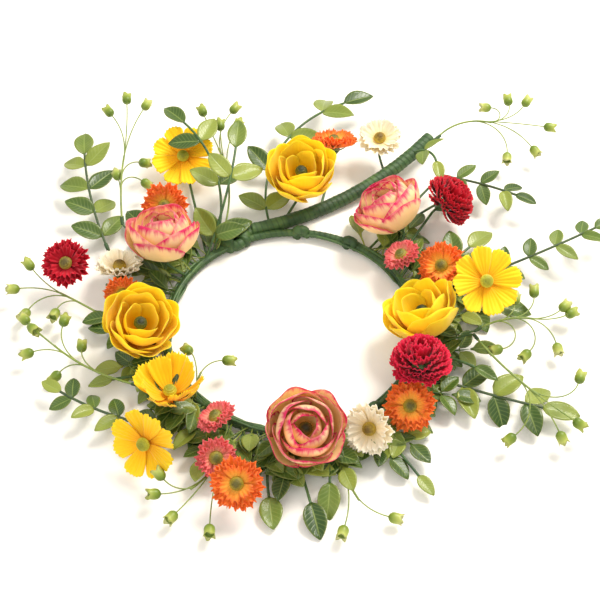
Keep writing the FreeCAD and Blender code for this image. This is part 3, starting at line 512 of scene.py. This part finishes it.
# %% The petal formula
def petal(rng, radius, height, reach, half, turn=0.0, foot=0.0, tip=0.2, taper=0.3, overlap=0.06,
          flare=0.0, pleats=0, pleat=0.0, teeth=0, tooth=0.0, waves=0, ruffle=0.0, rows=12, columns=13):
    """A patch of a bowl. The angle up the bowl is a = reach * v, where v falls off towards the sides by
    tip * |u|^2.5 and by the teeth. Distance from the axis is radius * sin a, over sin reach when that is
    under a quarter turn. Height is foot + (height - foot) * (1 - cos a) / (1 - cos reach). The turn about
    the axis is u * half * (1 - taper * v^2). Pleats and ruffles push along the inward normal, and a flare
    bends the tip outwards with v^6 and down with v^8."""
    t, u = grid(rows, columns, 0.05)
    saw = np.abs((u * teeth / 2 + rng.uniform()) % 1 * 2 - 1)
    v = t * (1 - tip * np.abs(u) ** 2.5) * (1 - tooth * saw * t ** 4)
    a = np.radians(reach) * v
    wide = np.sin(min(np.radians(reach), np.pi / 2))
    wave = np.sin(waves * np.pi * u + rng.uniform(0, 6.3))
    push = (pleat * np.cos(pleats * np.pi * u) * v + ruffle * wave * v ** 3) * radius
    out = radius * np.sin(a) / wide * (1 + overlap * u) + flare * radius * v ** 6 - push * np.sin(a)
    rise = foot + (height - foot) * (1 - np.cos(a)) / (1 - np.cos(np.radians(reach))) + push * np.cos(a)
    around = turn + u * np.radians(half) * (1 - taper * v ** 2)
    rise = rise - flare * radius * 0.5 * v ** 8
    return surface(out * np.cos(around), out * np.sin(around), rise, rng.uniform())


def whorl(rng, count, start=0.0, wander=0.05, **shape):
    """count petals evenly about the axis, each a little different in size and turn."""
    made = []
    for number in range(count):
        one = dict(shape)
        one["reach"] *= 1 + rng.uniform(-wander, wander)
        one["height"] *= 1 + rng.uniform(-wander, wander)
        one["turn"] = start + number * 2 * np.pi / count + rng.uniform(-1, 1) * wander * 2
        made.append(petal(rng, **one))
    return made


# %% [markdown]
# ## Flower heads
#
# A ranunculus is whorl inside whorl, each smaller, closing further and standing a little higher. A
# cosmos has eight wide pleated petals in two layers. A carnation has two or three layers of short
# ruffled petals with toothed ends, and the double one is a dome of small ruffled tongues, set out by
# the golden angle so that no two line up.


# %% Build a flower head of each kind
def ranunculus(rng, radius, height, layers):
    """layers are (count, share of radius, reach, share of height, half width), outside first."""
    made = []
    for number, (count, wide, reach, tall, half) in enumerate(layers):
        made += whorl(
            rng, count, start=number * 0.62, wander=0.06 if number == 0 else 0.035,
            radius=radius * wide * 0.94, height=height * tall, reach=reach, half=half,
            foot=height * 0.07 * number, tip=0.34, taper=0.08, overlap=0.08,
            flare=0.06 if number < 2 else 0.03, waves=2.2, ruffle=0.05, rows=17, columns=21,
        )
    return made


YELLOW_ROSE = [(5, 1.0, 93, 0.84, 52), (4, 0.88, 103, 1.0, 62), (4, 0.69, 113, 1.06, 60),
               (3, 0.46, 116, 0.98, 74)]
PEACH_ROSE = [(4, 1.0, 99, 0.84, 60), (3, 0.90, 115, 0.98, 78), (3, 0.75, 128, 1.04, 80),
              (3, 0.58, 139, 1.07, 84), (3, 0.40, 147, 1.03, 88)]


def cosmos(rng, radius, height):
    """Eight pleated petals, the lower four a little flatter than the upper four."""
    shape = dict(radius=radius, reach=24, half=27, tip=0.10, taper=0.32, overlap=0.0, pleats=5, pleat=0.022,
                 teeth=6, tooth=0.05, waves=1.5, ruffle=0.05, rows=14, columns=21)
    low = whorl(rng, 4, 0.0, 0.03, height=height * 1.3, foot=height * 0.1, **shape)
    return low + whorl(rng, 4, np.pi / 4, 0.03, height=height * 2.0, foot=height * 0.5, **shape)


def cosmos_cup(rng, radius, height):
    """The same petals half open: they climb the bowl to its rim and overlap all round."""
    shape = dict(reach=66, half=33, tip=0.07, taper=0.2, pleats=5, pleat=0.022, teeth=9, tooth=0.10, waves=2,
                 ruffle=0.04, rows=16, columns=23)
    low = whorl(rng, 4, 0.0, 0.04, radius=radius * 1.02, height=height * 0.92, **shape)
    high = dict(radius=radius * 0.84, height=height, foot=height * 0.06)
    return low + whorl(rng, 4, np.pi / 4, 0.04, **high, **shape)


def frilled(rng, radius, height, eye, trumpet=False):
    """Layers of ruffled, toothed petals. eye is the height that the inner ones spring from."""
    shape = dict(tip=0.16, taper=0.1, teeth=9, tooth=0.12, overlap=0.08, rows=13, columns=27)
    ruffle = dict(waves=3.4, ruffle=0.10) if trumpet else dict(waves=3.6, ruffle=0.15)
    layers = [(6, 1.0, 40, 0.72, 36), (6, 0.88, 50, 0.98, 34), (5, 0.66, 62, 1.08, 36)]
    if trumpet:
        layers = [(6, 1.0, 52, 0.92, 36), (6, 0.84, 62, 1.12, 35)]
        shape.update(pleats=6, pleat=0.02)
    made = []
    for number, (count, wide, reach, tall, half) in enumerate(layers):
        foot = eye * (number + 1) / (len(layers) + 0.5)
        made += whorl(rng, count, number * 0.5, 0.09, radius=radius * wide,
                      height=max(height * tall, foot + 2 * MM), reach=reach, half=half, foot=foot,
                      **ruffle, **shape)
    return made


def tongue(rng, length, width):
    """A small ruffled petal standing on its root: half width grows as 0.3 + 0.7 sqrt v, and the ruffle and
    the backward curl grow with v^2."""
    v, u = grid(7, 11)
    rise = length * v * (1 - 0.14 * np.abs(u) ** 2) * (1 - 0.05 * np.cos(7 * np.pi * u) * v ** 3)
    wave = np.sin(3.2 * np.pi * u + rng.uniform(0, 6.3)) * 0.20 * width * v ** 2
    return surface(width * u * (0.3 + 0.7 * np.sqrt(v)), wave + 0.25 * length * v ** 2, rise, rng.uniform())


def pompon(rng, radius, height, count=84):
    """Tongues all over a dome. Number n of N leans from the axis by 6 + 92 * sqrt(n / N) degrees, give or
    take 4, and is turned by n golden angles."""
    made = []
    for number in range(count):
        lean = np.radians(6 + 92 * np.sqrt(number / count) + rng.uniform(-4, 4))
        around = number * GOLDEN
        way = np.array([np.sin(lean) * np.cos(around), np.sin(lean) * np.sin(around), np.cos(lean)])
        size = np.array([radius, radius, height * 0.8])
        root = way * size * 0.42 + UP * height * 0.16
        reach = np.linalg.norm(way * size) * 0.62
        made += stood([tongue(rng, reach, radius * 0.27)], root, unit(way * size), rng.uniform(-0.5, 0.5))
    return made


def sepals(rng, radius, height, count=5):
    """Pointed green leaves under the head, hugging its lower side."""
    return whorl(rng, count, rng.uniform(0, 6), 0.12, radius=radius * 0.62, height=height * 0.34, reach=58,
                 half=27, foot=-0.4 * MM, tip=0.02, taper=0.93, overlap=0.0, rows=9, columns=5)


# %% Put a head in every flower's place
def eye_height(node):
    """How high the nearest flower centre stands above this flower's base, along its axis."""
    base, axis, radius, height = flower_frames[node]
    heights = (eye_bases - base) @ axis
    off = np.linalg.norm(eye_bases - base - heights[:, None] * axis, axis=1)
    close = heights[(off < 3 * MM) & (heights > -2 * MM) & (heights < height + 6 * MM)]
    return close.min() if len(close) else height * 0.4


def head(node, rng):
    """(surfaces round +Z) of this flower."""
    radius, height = flower_frames[node][2:]
    if node.startswith("yellow_ranunculus"):
        return ranunculus(rng, radius, height, YELLOW_ROSE)
    if node.startswith("pink_ranunculus"):
        return ranunculus(rng, radius, height, PEACH_ROSE)
    if "cosmos" in node:
        return cosmos_cup(rng, radius, height) if height > 12 * MM else cosmos(rng, radius, height)
    if height > 20 * MM:
        return pompon(rng, radius, height)
    return frilled(rng, radius, height, eye_height(node), "white" in node)


eye_solids = [(n, s) for n in NODES if n.endswith(("_eye", "_eyes")) for s in solids(n)]
eye_bases = []
for _, points in eye_solids:
    middle, axes, extents, _ = measure(points)
    axis = axes[2] * np.sign(axes[2] @ (middle - nearest(middle, calyx_places)))
    eye_bases.append(middle - axis * extents[2] / 2)
eye_bases = np.array(eye_bases)
print(len(eye_solids), "flower centres")

for number, node in enumerate(heads):
    rng = np.random.default_rng(100 + number)
    base, axis, radius, height = flower_frames[node]
    cloth = next(CLOTH[kind] for kind in CLOTH if node.startswith(kind))
    turn = rng.uniform(0, 2 * np.pi)
    petals = stood(head(node, rng), base, axis, turn)
    made = piece(node + "_petals", petals, cloth, body_of(node), CLOTH_THICKNESS)
    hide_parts(node)
    green = stood(sepals(rng, radius, height), base, axis, turn)
    piece(node + "_sepals", green, LEAF, body_of(node), SEPAL_THICKNESS)
    print(node, len(made.data.polygons), "faces")

# %% [markdown]
# ## Flower centres
#
# The CAD centres are plain domes. A real one is a moulded button covered in beads, or a tuft of fine
# threads. Pushing a dome's surface out along two crossing spirals, as on a sunflower, gives the beads.


# %% Beaded centres
def button(radius, height, beads):
    """A dome with beads: its radius grows by 9 % where two opposite spirals cross. Row t leans from the top
    by t times 100 degrees, and the last row closes underneath."""
    t, u = np.linspace(0, 1, 22)[:, None], np.linspace(0, 1, 40, endpoint=False)[None, :]
    lean, around = np.radians(100) * t, 2 * np.pi * u
    spiral = np.cos(beads * around + 16 * t) * np.cos(beads * around - 16 * t)
    grown = (1 + 0.09 * spiral * np.sin(np.pi * t)) * np.minimum(1, 12 * (1 - t))
    flat = radius * np.sin(lean) * grown
    return surface(flat * np.cos(around), flat * np.sin(around), height * np.cos(lean) * grown, 0.5, True)


def eye_gap(node, place):
    """How far a place is from where this flower's centre should stand."""
    base, axis = flower_frames[node][:2]
    return np.linalg.norm(base + axis * eye_height(node) - place)


for (node, points), base in zip(eye_solids, eye_bases):
    middle, _, extents, _ = measure(points)
    axis = unit(middle - base)
    owner = min(heads, key=lambda n: eye_gap(n, base))
    kind = next(kind for kind in EYES if owner.startswith(kind))
    domed = stood([button(extents[0] / 2, extents[2] * 1.25, beads=9)], base - axis * 0.2 * MM, axis)
    made = piece(f"{owner}_button", domed, EYES[kind], body_of(node))
    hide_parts(node)

# %% [markdown]
# ## Leaves
#
# Each flat CAD blank gives a leaf its root, its rib line, its length and its width. The real leaf is
# widest past its middle, folded along the rib, and droops at its tip. The root end is the end nearer a
# stem, found by measuring from both ends to all stem points.


# %% Leaves in place of the blanks
def leaf(rng, length, width, stalk=0.0):
    """A leaf along +Y from the origin, folded up on both sides of its rib. Half width is
    sin(pi * w^0.85)^0.75, where w starts above the stalk, which is a share of the length. The fold lifts
    the sides by up to 0.4 of the half width, the tip droops with v^2 and the rim waves a little."""
    v, u = grid(10, 9)
    blade = np.clip((v - stalk) / (1 - stalk), 0, 1)
    half = width / 2 * (0.07 + 0.95 * np.abs(np.sin(np.pi * blade ** 0.85)) ** 0.75)
    fold, droop = rng.uniform(0.15, 0.4), rng.uniform(0.0, 0.22)
    lift = half * np.abs(u) ** 1.3 * fold + 0.03 * width * np.sin(7 * v + rng.uniform(0, 6)) * u
    side = rng.uniform(-0.05, 0.05) * length * v ** 2
    return surface(half * u + side, length * v, lift - droop * length * v ** 2, rng.uniform())


def is_blank(points):
    """A leaf blank is thinner than any stem."""
    return measure(points)[2][2] < 1.2 * MM


def placed_leaf(points, stems, rng):
    """A leaf standing on one blank."""
    middle, axes, extents, _ = measure(points)
    rib, normal = axes[0], axes[2] * np.sign(axes[2] @ UP + 1e-9)
    ends = middle + np.outer([-0.5, 0.5], rib * extents[0])
    gaps = np.linalg.norm(ends[:, None] - stems[None], axis=2).min(axis=1)
    root = ends[gaps.argmin()]
    rib = unit(middle - root)
    turned = np.array([np.cross(rib, normal), rib, normal])
    length, width = extents[0] * rng.uniform(0.95, 1.12), extents[1] * rng.uniform(0.95, 1.15)
    shape, tone, wrap = leaf(rng, length, width)
    return shape @ turned + root, tone, wrap


stem_points = np.concatenate(stem_solids)
twigs_and_leaves = [n for n in NODES if "twig" in n or n.endswith("_leaves")]
for number, node in enumerate(twigs_and_leaves):
    rng = np.random.default_rng(500 + number)
    blanks = [s for s in solids(node) if is_blank(s)]
    if not blanks:
        continue
    leaves = [placed_leaf(points, stem_points, rng) for points in blanks]
    made = piece(node + "_plastic", leaves, LEAF, body_of(node), LEAF_THICKNESS)
    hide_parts(node)
    print(node, len(leaves), "leaves")

# %% [markdown]
# ## Buds
#
# Each CAD bud is a small pear on a thread of stem. The looks add a cup over it with a four-lobed cream
# lip that flares like a tiny bell. The green foot and the cream lip are one colour ramp along V.


# %% Buds
def bud_cup(rng, radius, height):
    """A lathe cup along +Z: radius times a pear outline, with four lobes and a flare near the lip and a
    floor half-way down inside."""
    outline = np.array([0.16, 0.62, 0.94, 1.02, 1.00, 0.96, 1.07, 0.88, 0.66, 0.02])
    up = np.array([-0.02, 0.08, 0.26, 0.46, 0.68, 0.88, 1.12, 0.92, 0.55, 0.42])
    around = ring(15)
    lip = np.exp(-((np.arange(len(up)) - 6) / 1.0) ** 2)[:, None]
    lobe = np.cos(4 * around + rng.uniform(0, 6.3))
    out = radius * (outline[:, None] + 0.11 * lip * lobe)
    rise = height * (up[:, None] + 0.15 * lip * lobe)
    return surface(out * np.cos(around), out * np.sin(around), rise, rng.uniform(), True)


BUD_RADIUS = 3.65 * MM
bud_count = 0
for number, node in enumerate([n for n in NODES if "spray" in n]):
    rng = np.random.default_rng(700 + number)
    parts = solids(node)
    threads = np.concatenate([s for s in parts if not is_stubby(s)])
    cups = []
    for points in filter(is_stubby, parts):
        middle, axis = measure(points)[0], turning_axis(points)
        root = nearest(middle, threads[np.linalg.norm(threads - middle, axis=1) < 12 * MM])
        axis = axis * np.sign(axis @ (middle - root))
        tall = np.ptp(points @ axis)
        cup = bud_cup(rng, BUD_RADIUS, tall)
        cups += stood([cup], middle - axis * tall / 2, axis, rng.uniform(0, 6))
    piece(node + "_buds", cups, BUD, body_of(node))
    bud_count += len(cups)
print(bud_count, "buds")

# %% [markdown]
# ## Tape
#
# Florist's tape is wound on at a slant, so that each turn laps half of the one before. Seen closely
# that is a tube whose radius steps up once in every turn of a long spiral. The middle line of each
# taped piece is an arc, and it is fitted to the CAD solid: the thin direction of the solid is square to
# the arc's plane, and the circle comes from least squares.


# %% Fit arcs and wind tape on them
def fitted_arc(points):
    """(centre, first direction, second direction, arc radius, tube radius, sweep) of a bent tube. It
    starts along the first direction and turns towards the second."""
    middle, axes, extents, _ = measure(points)
    flat = (points - middle) @ axes[:2].T
    solved = np.linalg.lstsq(np.c_[2 * flat, np.ones(len(flat))], (flat ** 2).sum(axis=1), rcond=None)[0]
    centre = solved[:2]
    away = flat - centre
    far = np.linalg.norm(away, axis=1)
    angles = np.sort(np.arctan2(away[:, 1], away[:, 0]))
    gaps = np.diff(np.append(angles, angles[0] + 2 * np.pi))
    widest = gaps.argmax()
    whole = gaps[widest] < np.radians(20)
    start = angles[(widest + 1) % len(angles)]
    sweep = 2 * np.pi if whole else 2 * np.pi - gaps[widest]
    first = np.cos(start) * axes[0] + np.sin(start) * axes[1]
    second = -np.sin(start) * axes[0] + np.cos(start) * axes[1]
    return middle + centre @ axes[:2], first, second, (far.max() + far.min()) / 2, np.ptp(far) / 2, sweep


def wound(arc, pitch=4.2 * MM, step=0.3 * MM, grow=0.0):
    """Tape wound on an arc: a tube whose radius rises by step over each turn of a spiral and drops back at
    its edge. Both ends of an open arc close on its middle line."""
    centre, first, second, radius, thick, sweep = arc
    rows = max(12, int(radius * sweep / pitch * 9))
    t = np.linspace(0, 1, rows)[:, None]
    around = ring(16)
    lap = (t * sweep * radius / pitch + around / (2 * np.pi)) % 1
    near_end = np.minimum(t, 1 - t) * sweep * radius
    end = 1 if sweep > 6 else CLOSED + (1 - CLOSED) * np.clip(near_end / (1.6 * MM), 0, 1) ** 0.4
    wide = (thick + grow + step * (0.3 + lap) + 0.12 * MM * np.sin(5 * around + 60 * t)) * end
    outward = np.cos(sweep * t)[..., None] * first + np.sin(sweep * t)[..., None] * second
    square = np.cross(first, second)
    line = centre + radius * outward
    tube = line + (wide * np.cos(around))[..., None] * outward + (wide * np.sin(around))[..., None] * square
    # The tone is the mask of painted shade in the step at the edge of each turn.
    return tube, np.clip(1 - lap * 6, 0, 1) + np.clip(lap * 8 - 7, 0, 1), True


for node in ("hoop_tape", "branch_tape", "branch_root", "tape_bands"):
    slim = -0.9 * MM if node == "tape_bands" else 0.0
    turns = [wound(fitted_arc(points), grow=slim) for points in solids(node)]
    made = piece(node + "_winding", turns, TAPE, body_of(node))
    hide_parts(node)
    print(node, len(turns), "windings,", len(made.data.polygons), "faces")

# %% [markdown]
# ## Bare stems along the hoop
#
# Between the flowers the hoop is thickened by the stems that run along it before the tape takes them
# in. They are thin arcs that lie on the tape, each at its own place round it, and they slowly cross.


# %% Stems lying on the tape
def lying_stem(rng, start, end, thick):
    """A thin tube beside the hoop from angle start to end. Its place round the tape drifts with t."""
    centre, first, second, radius, taped, _ = hoop_arc
    rows = max(6, int(abs(end - start) / 3))
    t = np.linspace(0, 1, rows)[:, None]
    around = ring(8)
    place = rng.uniform(0, 2 * np.pi) + rng.uniform(-1.2, 1.2) * t
    gap = taped + thick * 0.6 + 0.5 * MM * np.sin(9 * t + rng.uniform(0, 6))
    far, rise = radius + gap * np.cos(place), np.abs(gap * np.sin(place))
    wide = thick * np.ones_like(t)
    wide[0], wide[-1] = CLOSED * thick, CLOSED * thick
    angle = np.radians(start + (end - start) * t)
    far = far + wide * np.cos(around)
    return surface(centre[0] + far * np.cos(angle), centre[1] + far * np.sin(angle),
                   centre[2] + rise + wide * np.sin(around), rng.uniform(), True)


hoop_arc = fitted_arc(solids("hoop_tape")[0])
rng = np.random.default_rng(9)
bundle = [lying_stem(rng, start, start + rng.uniform(24, 60), rng.uniform(0.8, 1.15) * MM)
          for start in np.linspace(110, 395, 34)]
piece("lying_stems", bundle, STEM, "crown")
print(len(bundle), "stems lie along the hoop")

# %% [markdown]
# ## Leaves close to the hoop
#
# Each stem of the bundle still has its lowest leaves on, so the hoop is wrapped in green under the
# flowers. They stand on short stalks on the outer side of the tape, low enough to stay under the heads,
# and none grows on the bare arc at the back where the branch leaves. Low sprigs of five leaves fill the
# gaps between the flowers. Leaves that a nodding flower would meet as it bends are left out.


# %% Collar leaves and low sprigs
def heading(angle, swing, climb):
    """A direction outwards at this hoop angle, turned sideways by swing and lifted by climb, in degrees."""
    turn, climb = np.radians(angle + swing), np.radians(climb)
    return np.array([np.cos(turn) * np.cos(climb), np.sin(turn) * np.cos(climb), np.sin(climb)])


def leaf_on(rng, root, rib, length, width, stalk, roll):
    """A leaf that grows from root along rib, rolled about it."""
    across = unit(np.cross(rib, UP))
    normal = np.cross(across, rib)
    rolled = np.array([
        across * np.cos(roll) + normal * np.sin(roll),
        rib,
        normal * np.cos(roll) - across * np.sin(roll),
    ])
    shape, tone, wrap = leaf(rng, length, width, stalk)
    return shape @ rolled + root, tone, wrap


def tape_place(angle, rise):
    """A place on the outer side of the hoop's tape."""
    centre, _, _, radius, taped, _ = hoop_arc
    return centre + heading(angle, 0, 0) * (radius + taped * 0.6) + UP * rise


def collar_leaf(rng, angle):
    """A stalked leaf rooted on the tape, pointing outwards and a little up."""
    rib = heading(angle, rng.uniform(-60, 60), rng.uniform(2, 26))
    root, stalk = tape_place(angle, rng.uniform(0.5, 2.5) * MM), rng.uniform(0.2, 0.48)
    length = rng.uniform(18, 23) * MM / (1 - stalk)
    return leaf_on(rng, root, rib, length, rng.uniform(10, 14) * MM, stalk, rng.uniform(-0.45, 0.45))


def sprig(rng, angle, reach):
    """(stem, leaves): a thin stem lying low, with two pairs of leaves and one at its end."""
    swing = rng.uniform(-28, 28)
    way, root = heading(angle, swing, rng.uniform(2, 7)), tape_place(angle, 1 * MM)
    t, around = np.linspace(0, 1, 6)[:, None], ring(7)
    wide = 0.8 * MM * (1.02 - t ** 6)
    tube = surface(wide * np.cos(around), wide * np.sin(around), reach * t, rng.uniform(), True)
    stem = stood([tube], root, way)
    leaves = [leaf_on(rng, root + way * reach, way, 20 * MM, 12 * MM, 0.1, rng.uniform(-0.3, 0.3))]
    for share in (0.45, 0.78):
        for hand in (-1, 1):
            rib = heading(angle, swing + hand * rng.uniform(45, 62), rng.uniform(2, 16))
            size = rng.uniform(15, 20) * MM
            place, roll = root + way * reach * share, rng.uniform(-0.5, 0.5)
            leaves.append(leaf_on(rng, place, rib, size, size * 0.6, 0.12, roll))
    return stem, leaves


def clear_of_nodding(shape):
    """Whether a leaf keeps out of the space that the nodding flowers bend through."""
    frames = [flower_frames[n] for n in heads if body_of(n) == n]
    gaps = [np.linalg.norm(shape - base, axis=-1).min() - radius for base, _, radius, _ in frames]
    return min(gaps) > 2 * MM


COLLAR_COUNT, COLLAR_START, COLLAR_SWEEP = 150, 130, 285
SPRIG_ANGLES = [136, 152, 173, 187, 200, 222, 236, 250, 261, 272, 286, 297, 309, 324, 345, 358, 12, 27, 42]
rng = np.random.default_rng(21)
steps = np.arange(COLLAR_COUNT) + rng.uniform(-0.4, 0.4, COLLAR_COUNT)
angles = COLLAR_START + steps * COLLAR_SWEEP / COLLAR_COUNT
collar = [collar_leaf(rng, angle) for angle in angles]
sprigs = [sprig(rng, angle, rng.uniform(30, 44) * MM) for angle in SPRIG_ANGLES]
collar += [one for _, leaves in sprigs for one in leaves]
collar = [one for one in collar if clear_of_nodding(one[0])]
piece("sprig_stems", [stem for stems, _ in sprigs for stem in stems], STEM, "crown")
piece("collar_leaves", collar, LEAF, "crown", LEAF_THICKNESS)
print(len(collar), "leaves close to the hoop")

# %% [markdown]
# ## Where the wires bend
#
# The CAD model has a small gap in a stem at each place where it bends. On the real crown that is simply
# wire under tape. A short sleeve of tape covers each gap.


# %% Sleeves over the bends
def close_points(body, pivot, reach):
    """The stem points of a body within reach of a pivot."""
    nodes = frame["record"]["behaviour"]["bodies"][body]
    points = np.concatenate([cad_mesh(n)[0] for n in nodes if not n.endswith("_leaves")])
    return points[np.linalg.norm(points - pivot, axis=1) < reach]


def bend_sleeve(pivot, way, thick, half_length):
    """A taped tube along way, centred on pivot and closed at both ends. It swells by 0.2 mm at its middle."""
    t = np.linspace(-1, 1, 17)[:, None]
    around = ring(12)
    lap = (t * 1.5 + around / (2 * np.pi)) % 1
    end = CLOSED + (1 - CLOSED) * np.clip((1 - np.abs(t)) * 9, 0, 1) ** 0.5
    wide = (thick + 0.2 * MM * (1 - t ** 2) + 0.12 * MM * lap) * end
    tube = surface(wide * np.cos(around), wide * np.sin(around), half_length * t, 0.5)[0]
    # The tone is the mask of painted shade in the step at the edge of each turn.
    return tube @ turned_frame(way) + pivot, np.clip(1 - lap * 5, 0, 1), True


for joint in frame["joints"]:
    pivot = np.array(joint["pos_m"])
    reach = 5 * MM if joint["child"] == "back_branch" else 2.2 * MM
    outer, inner = close_points(joint["child"], pivot, reach), close_points(joint["parent"], pivot, reach)
    if not len(outer) or not len(inner):
        print("no sleeve at", joint["name"])
        continue
    way = unit(outer.mean(axis=0) - inner.mean(axis=0))
    away = outer - pivot
    thick = np.linalg.norm(away - np.outer(away @ way, way), axis=1).max() + 0.25 * MM
    sleeve = bend_sleeve(pivot, way, thick, max(3.4 * MM, thick * 1.2))
    made = piece(joint["child"] + "_sleeve", [sleeve], TAPE)
    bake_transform(made)

# %% [markdown]
# ## What stays from CAD
#
# The stems, wires and sprays are already the right shape, so they only get their materials.

# %% Materials of the CAD pieces
for name, made in frame["nodes"].items():
    material = SPRAY if "spray" in name else TWIG if "twig" in name or "wire" in name else STEM
    made.data.materials.clear()
    made.data.materials.append(material)

# %% [markdown]
# ## Floor, light and camera
#
# The crown lies on a pale table under one large soft lamp from the upper right, with a weak fill. The
# camera looks down at 52 degrees from the front with a long lens.


# %% Stage
def lamp(name, place, width, power, colour):
    """A round soft lamp that looks at the origin."""
    data = bpy.data.lights.new(name, "AREA")
    data.shape, data.size, data.energy, data.color = "DISK", width, power, colour
    made = bpy.data.objects.new(name, data)
    bpy.context.scene.collection.objects.link(made)
    made.location = place
    aim(made, (0, 0, 0))
    return made


def aim(made, target):
    """Turns a lamp or camera so that its -Z axis looks at target."""
    back = unit(np.array(made.location) - np.array(target))
    side = unit(np.cross(UP, back))
    turned = np.array([side, np.cross(back, side), back]).T
    made.matrix_world = Matrix.Translation(made.location) @ Matrix(turned.tolist()).to_4x4()


def table(name):
    g = Graph(name)
    colour = g.mix(g.noise(3.0), rgb(250, 247, 241), rgb(253, 251, 247))
    return g.finish(colour, 0.6, Specular_IOR_Level=0.2)


taped_solids = [points for node in ("tape_bands", "hoop_tape") for points in solids(node)]
floor_z = min(points[:, 2].min() for points in taped_solids) - 0.6 * MM
FLOOR_HALF = 4.0
span = FLOOR_HALF * np.array([[-1, -1], [1, -1], [1, 1], [-1, 1]])
floor_mesh = bpy.data.meshes.new("table")
floor_mesh.from_pydata([(*corner, floor_z) for corner in span], [], [(0, 1, 2, 3)])
floor_mesh.materials.append(table("table_top"))
floor = bpy.data.objects.new("table", floor_mesh)
bpy.context.scene.collection.objects.link(floor)
key = lamp("key", (0.75, 0.75, 1.45), width=0.75, power=34.0, colour=(1.0, 0.95, 0.87))
fill = lamp("fill", (-0.9, -1.1, 1.3), width=1.6, power=9.0, colour=(1.0, 0.98, 0.95))
world = bpy.data.worlds.new("room")
bpy.context.scene.world = world
world.use_nodes = True
sky = world.node_tree.nodes["Background"].inputs
sky["Color"].default_value = (1.0, 0.975, 0.94, 1.0)
sky["Strength"].default_value = 0.85

CAMERA_DISTANCE = 0.95
target = np.array([5.6, 25.0, 0.0]) * MM
climb = np.radians(52)
camera_data = bpy.data.cameras.new("camera")
camera_data.lens, camera_data.sensor_width = 78.0, 36.0
camera = bpy.data.objects.new("camera", camera_data)
bpy.context.scene.collection.objects.link(camera)
camera.location = target + CAMERA_DISTANCE * np.array([0.0, -np.cos(climb), np.sin(climb)])
aim(camera, target)
bpy.context.scene.camera = camera
bpy.context.scene.view_settings.view_transform = "Standard"
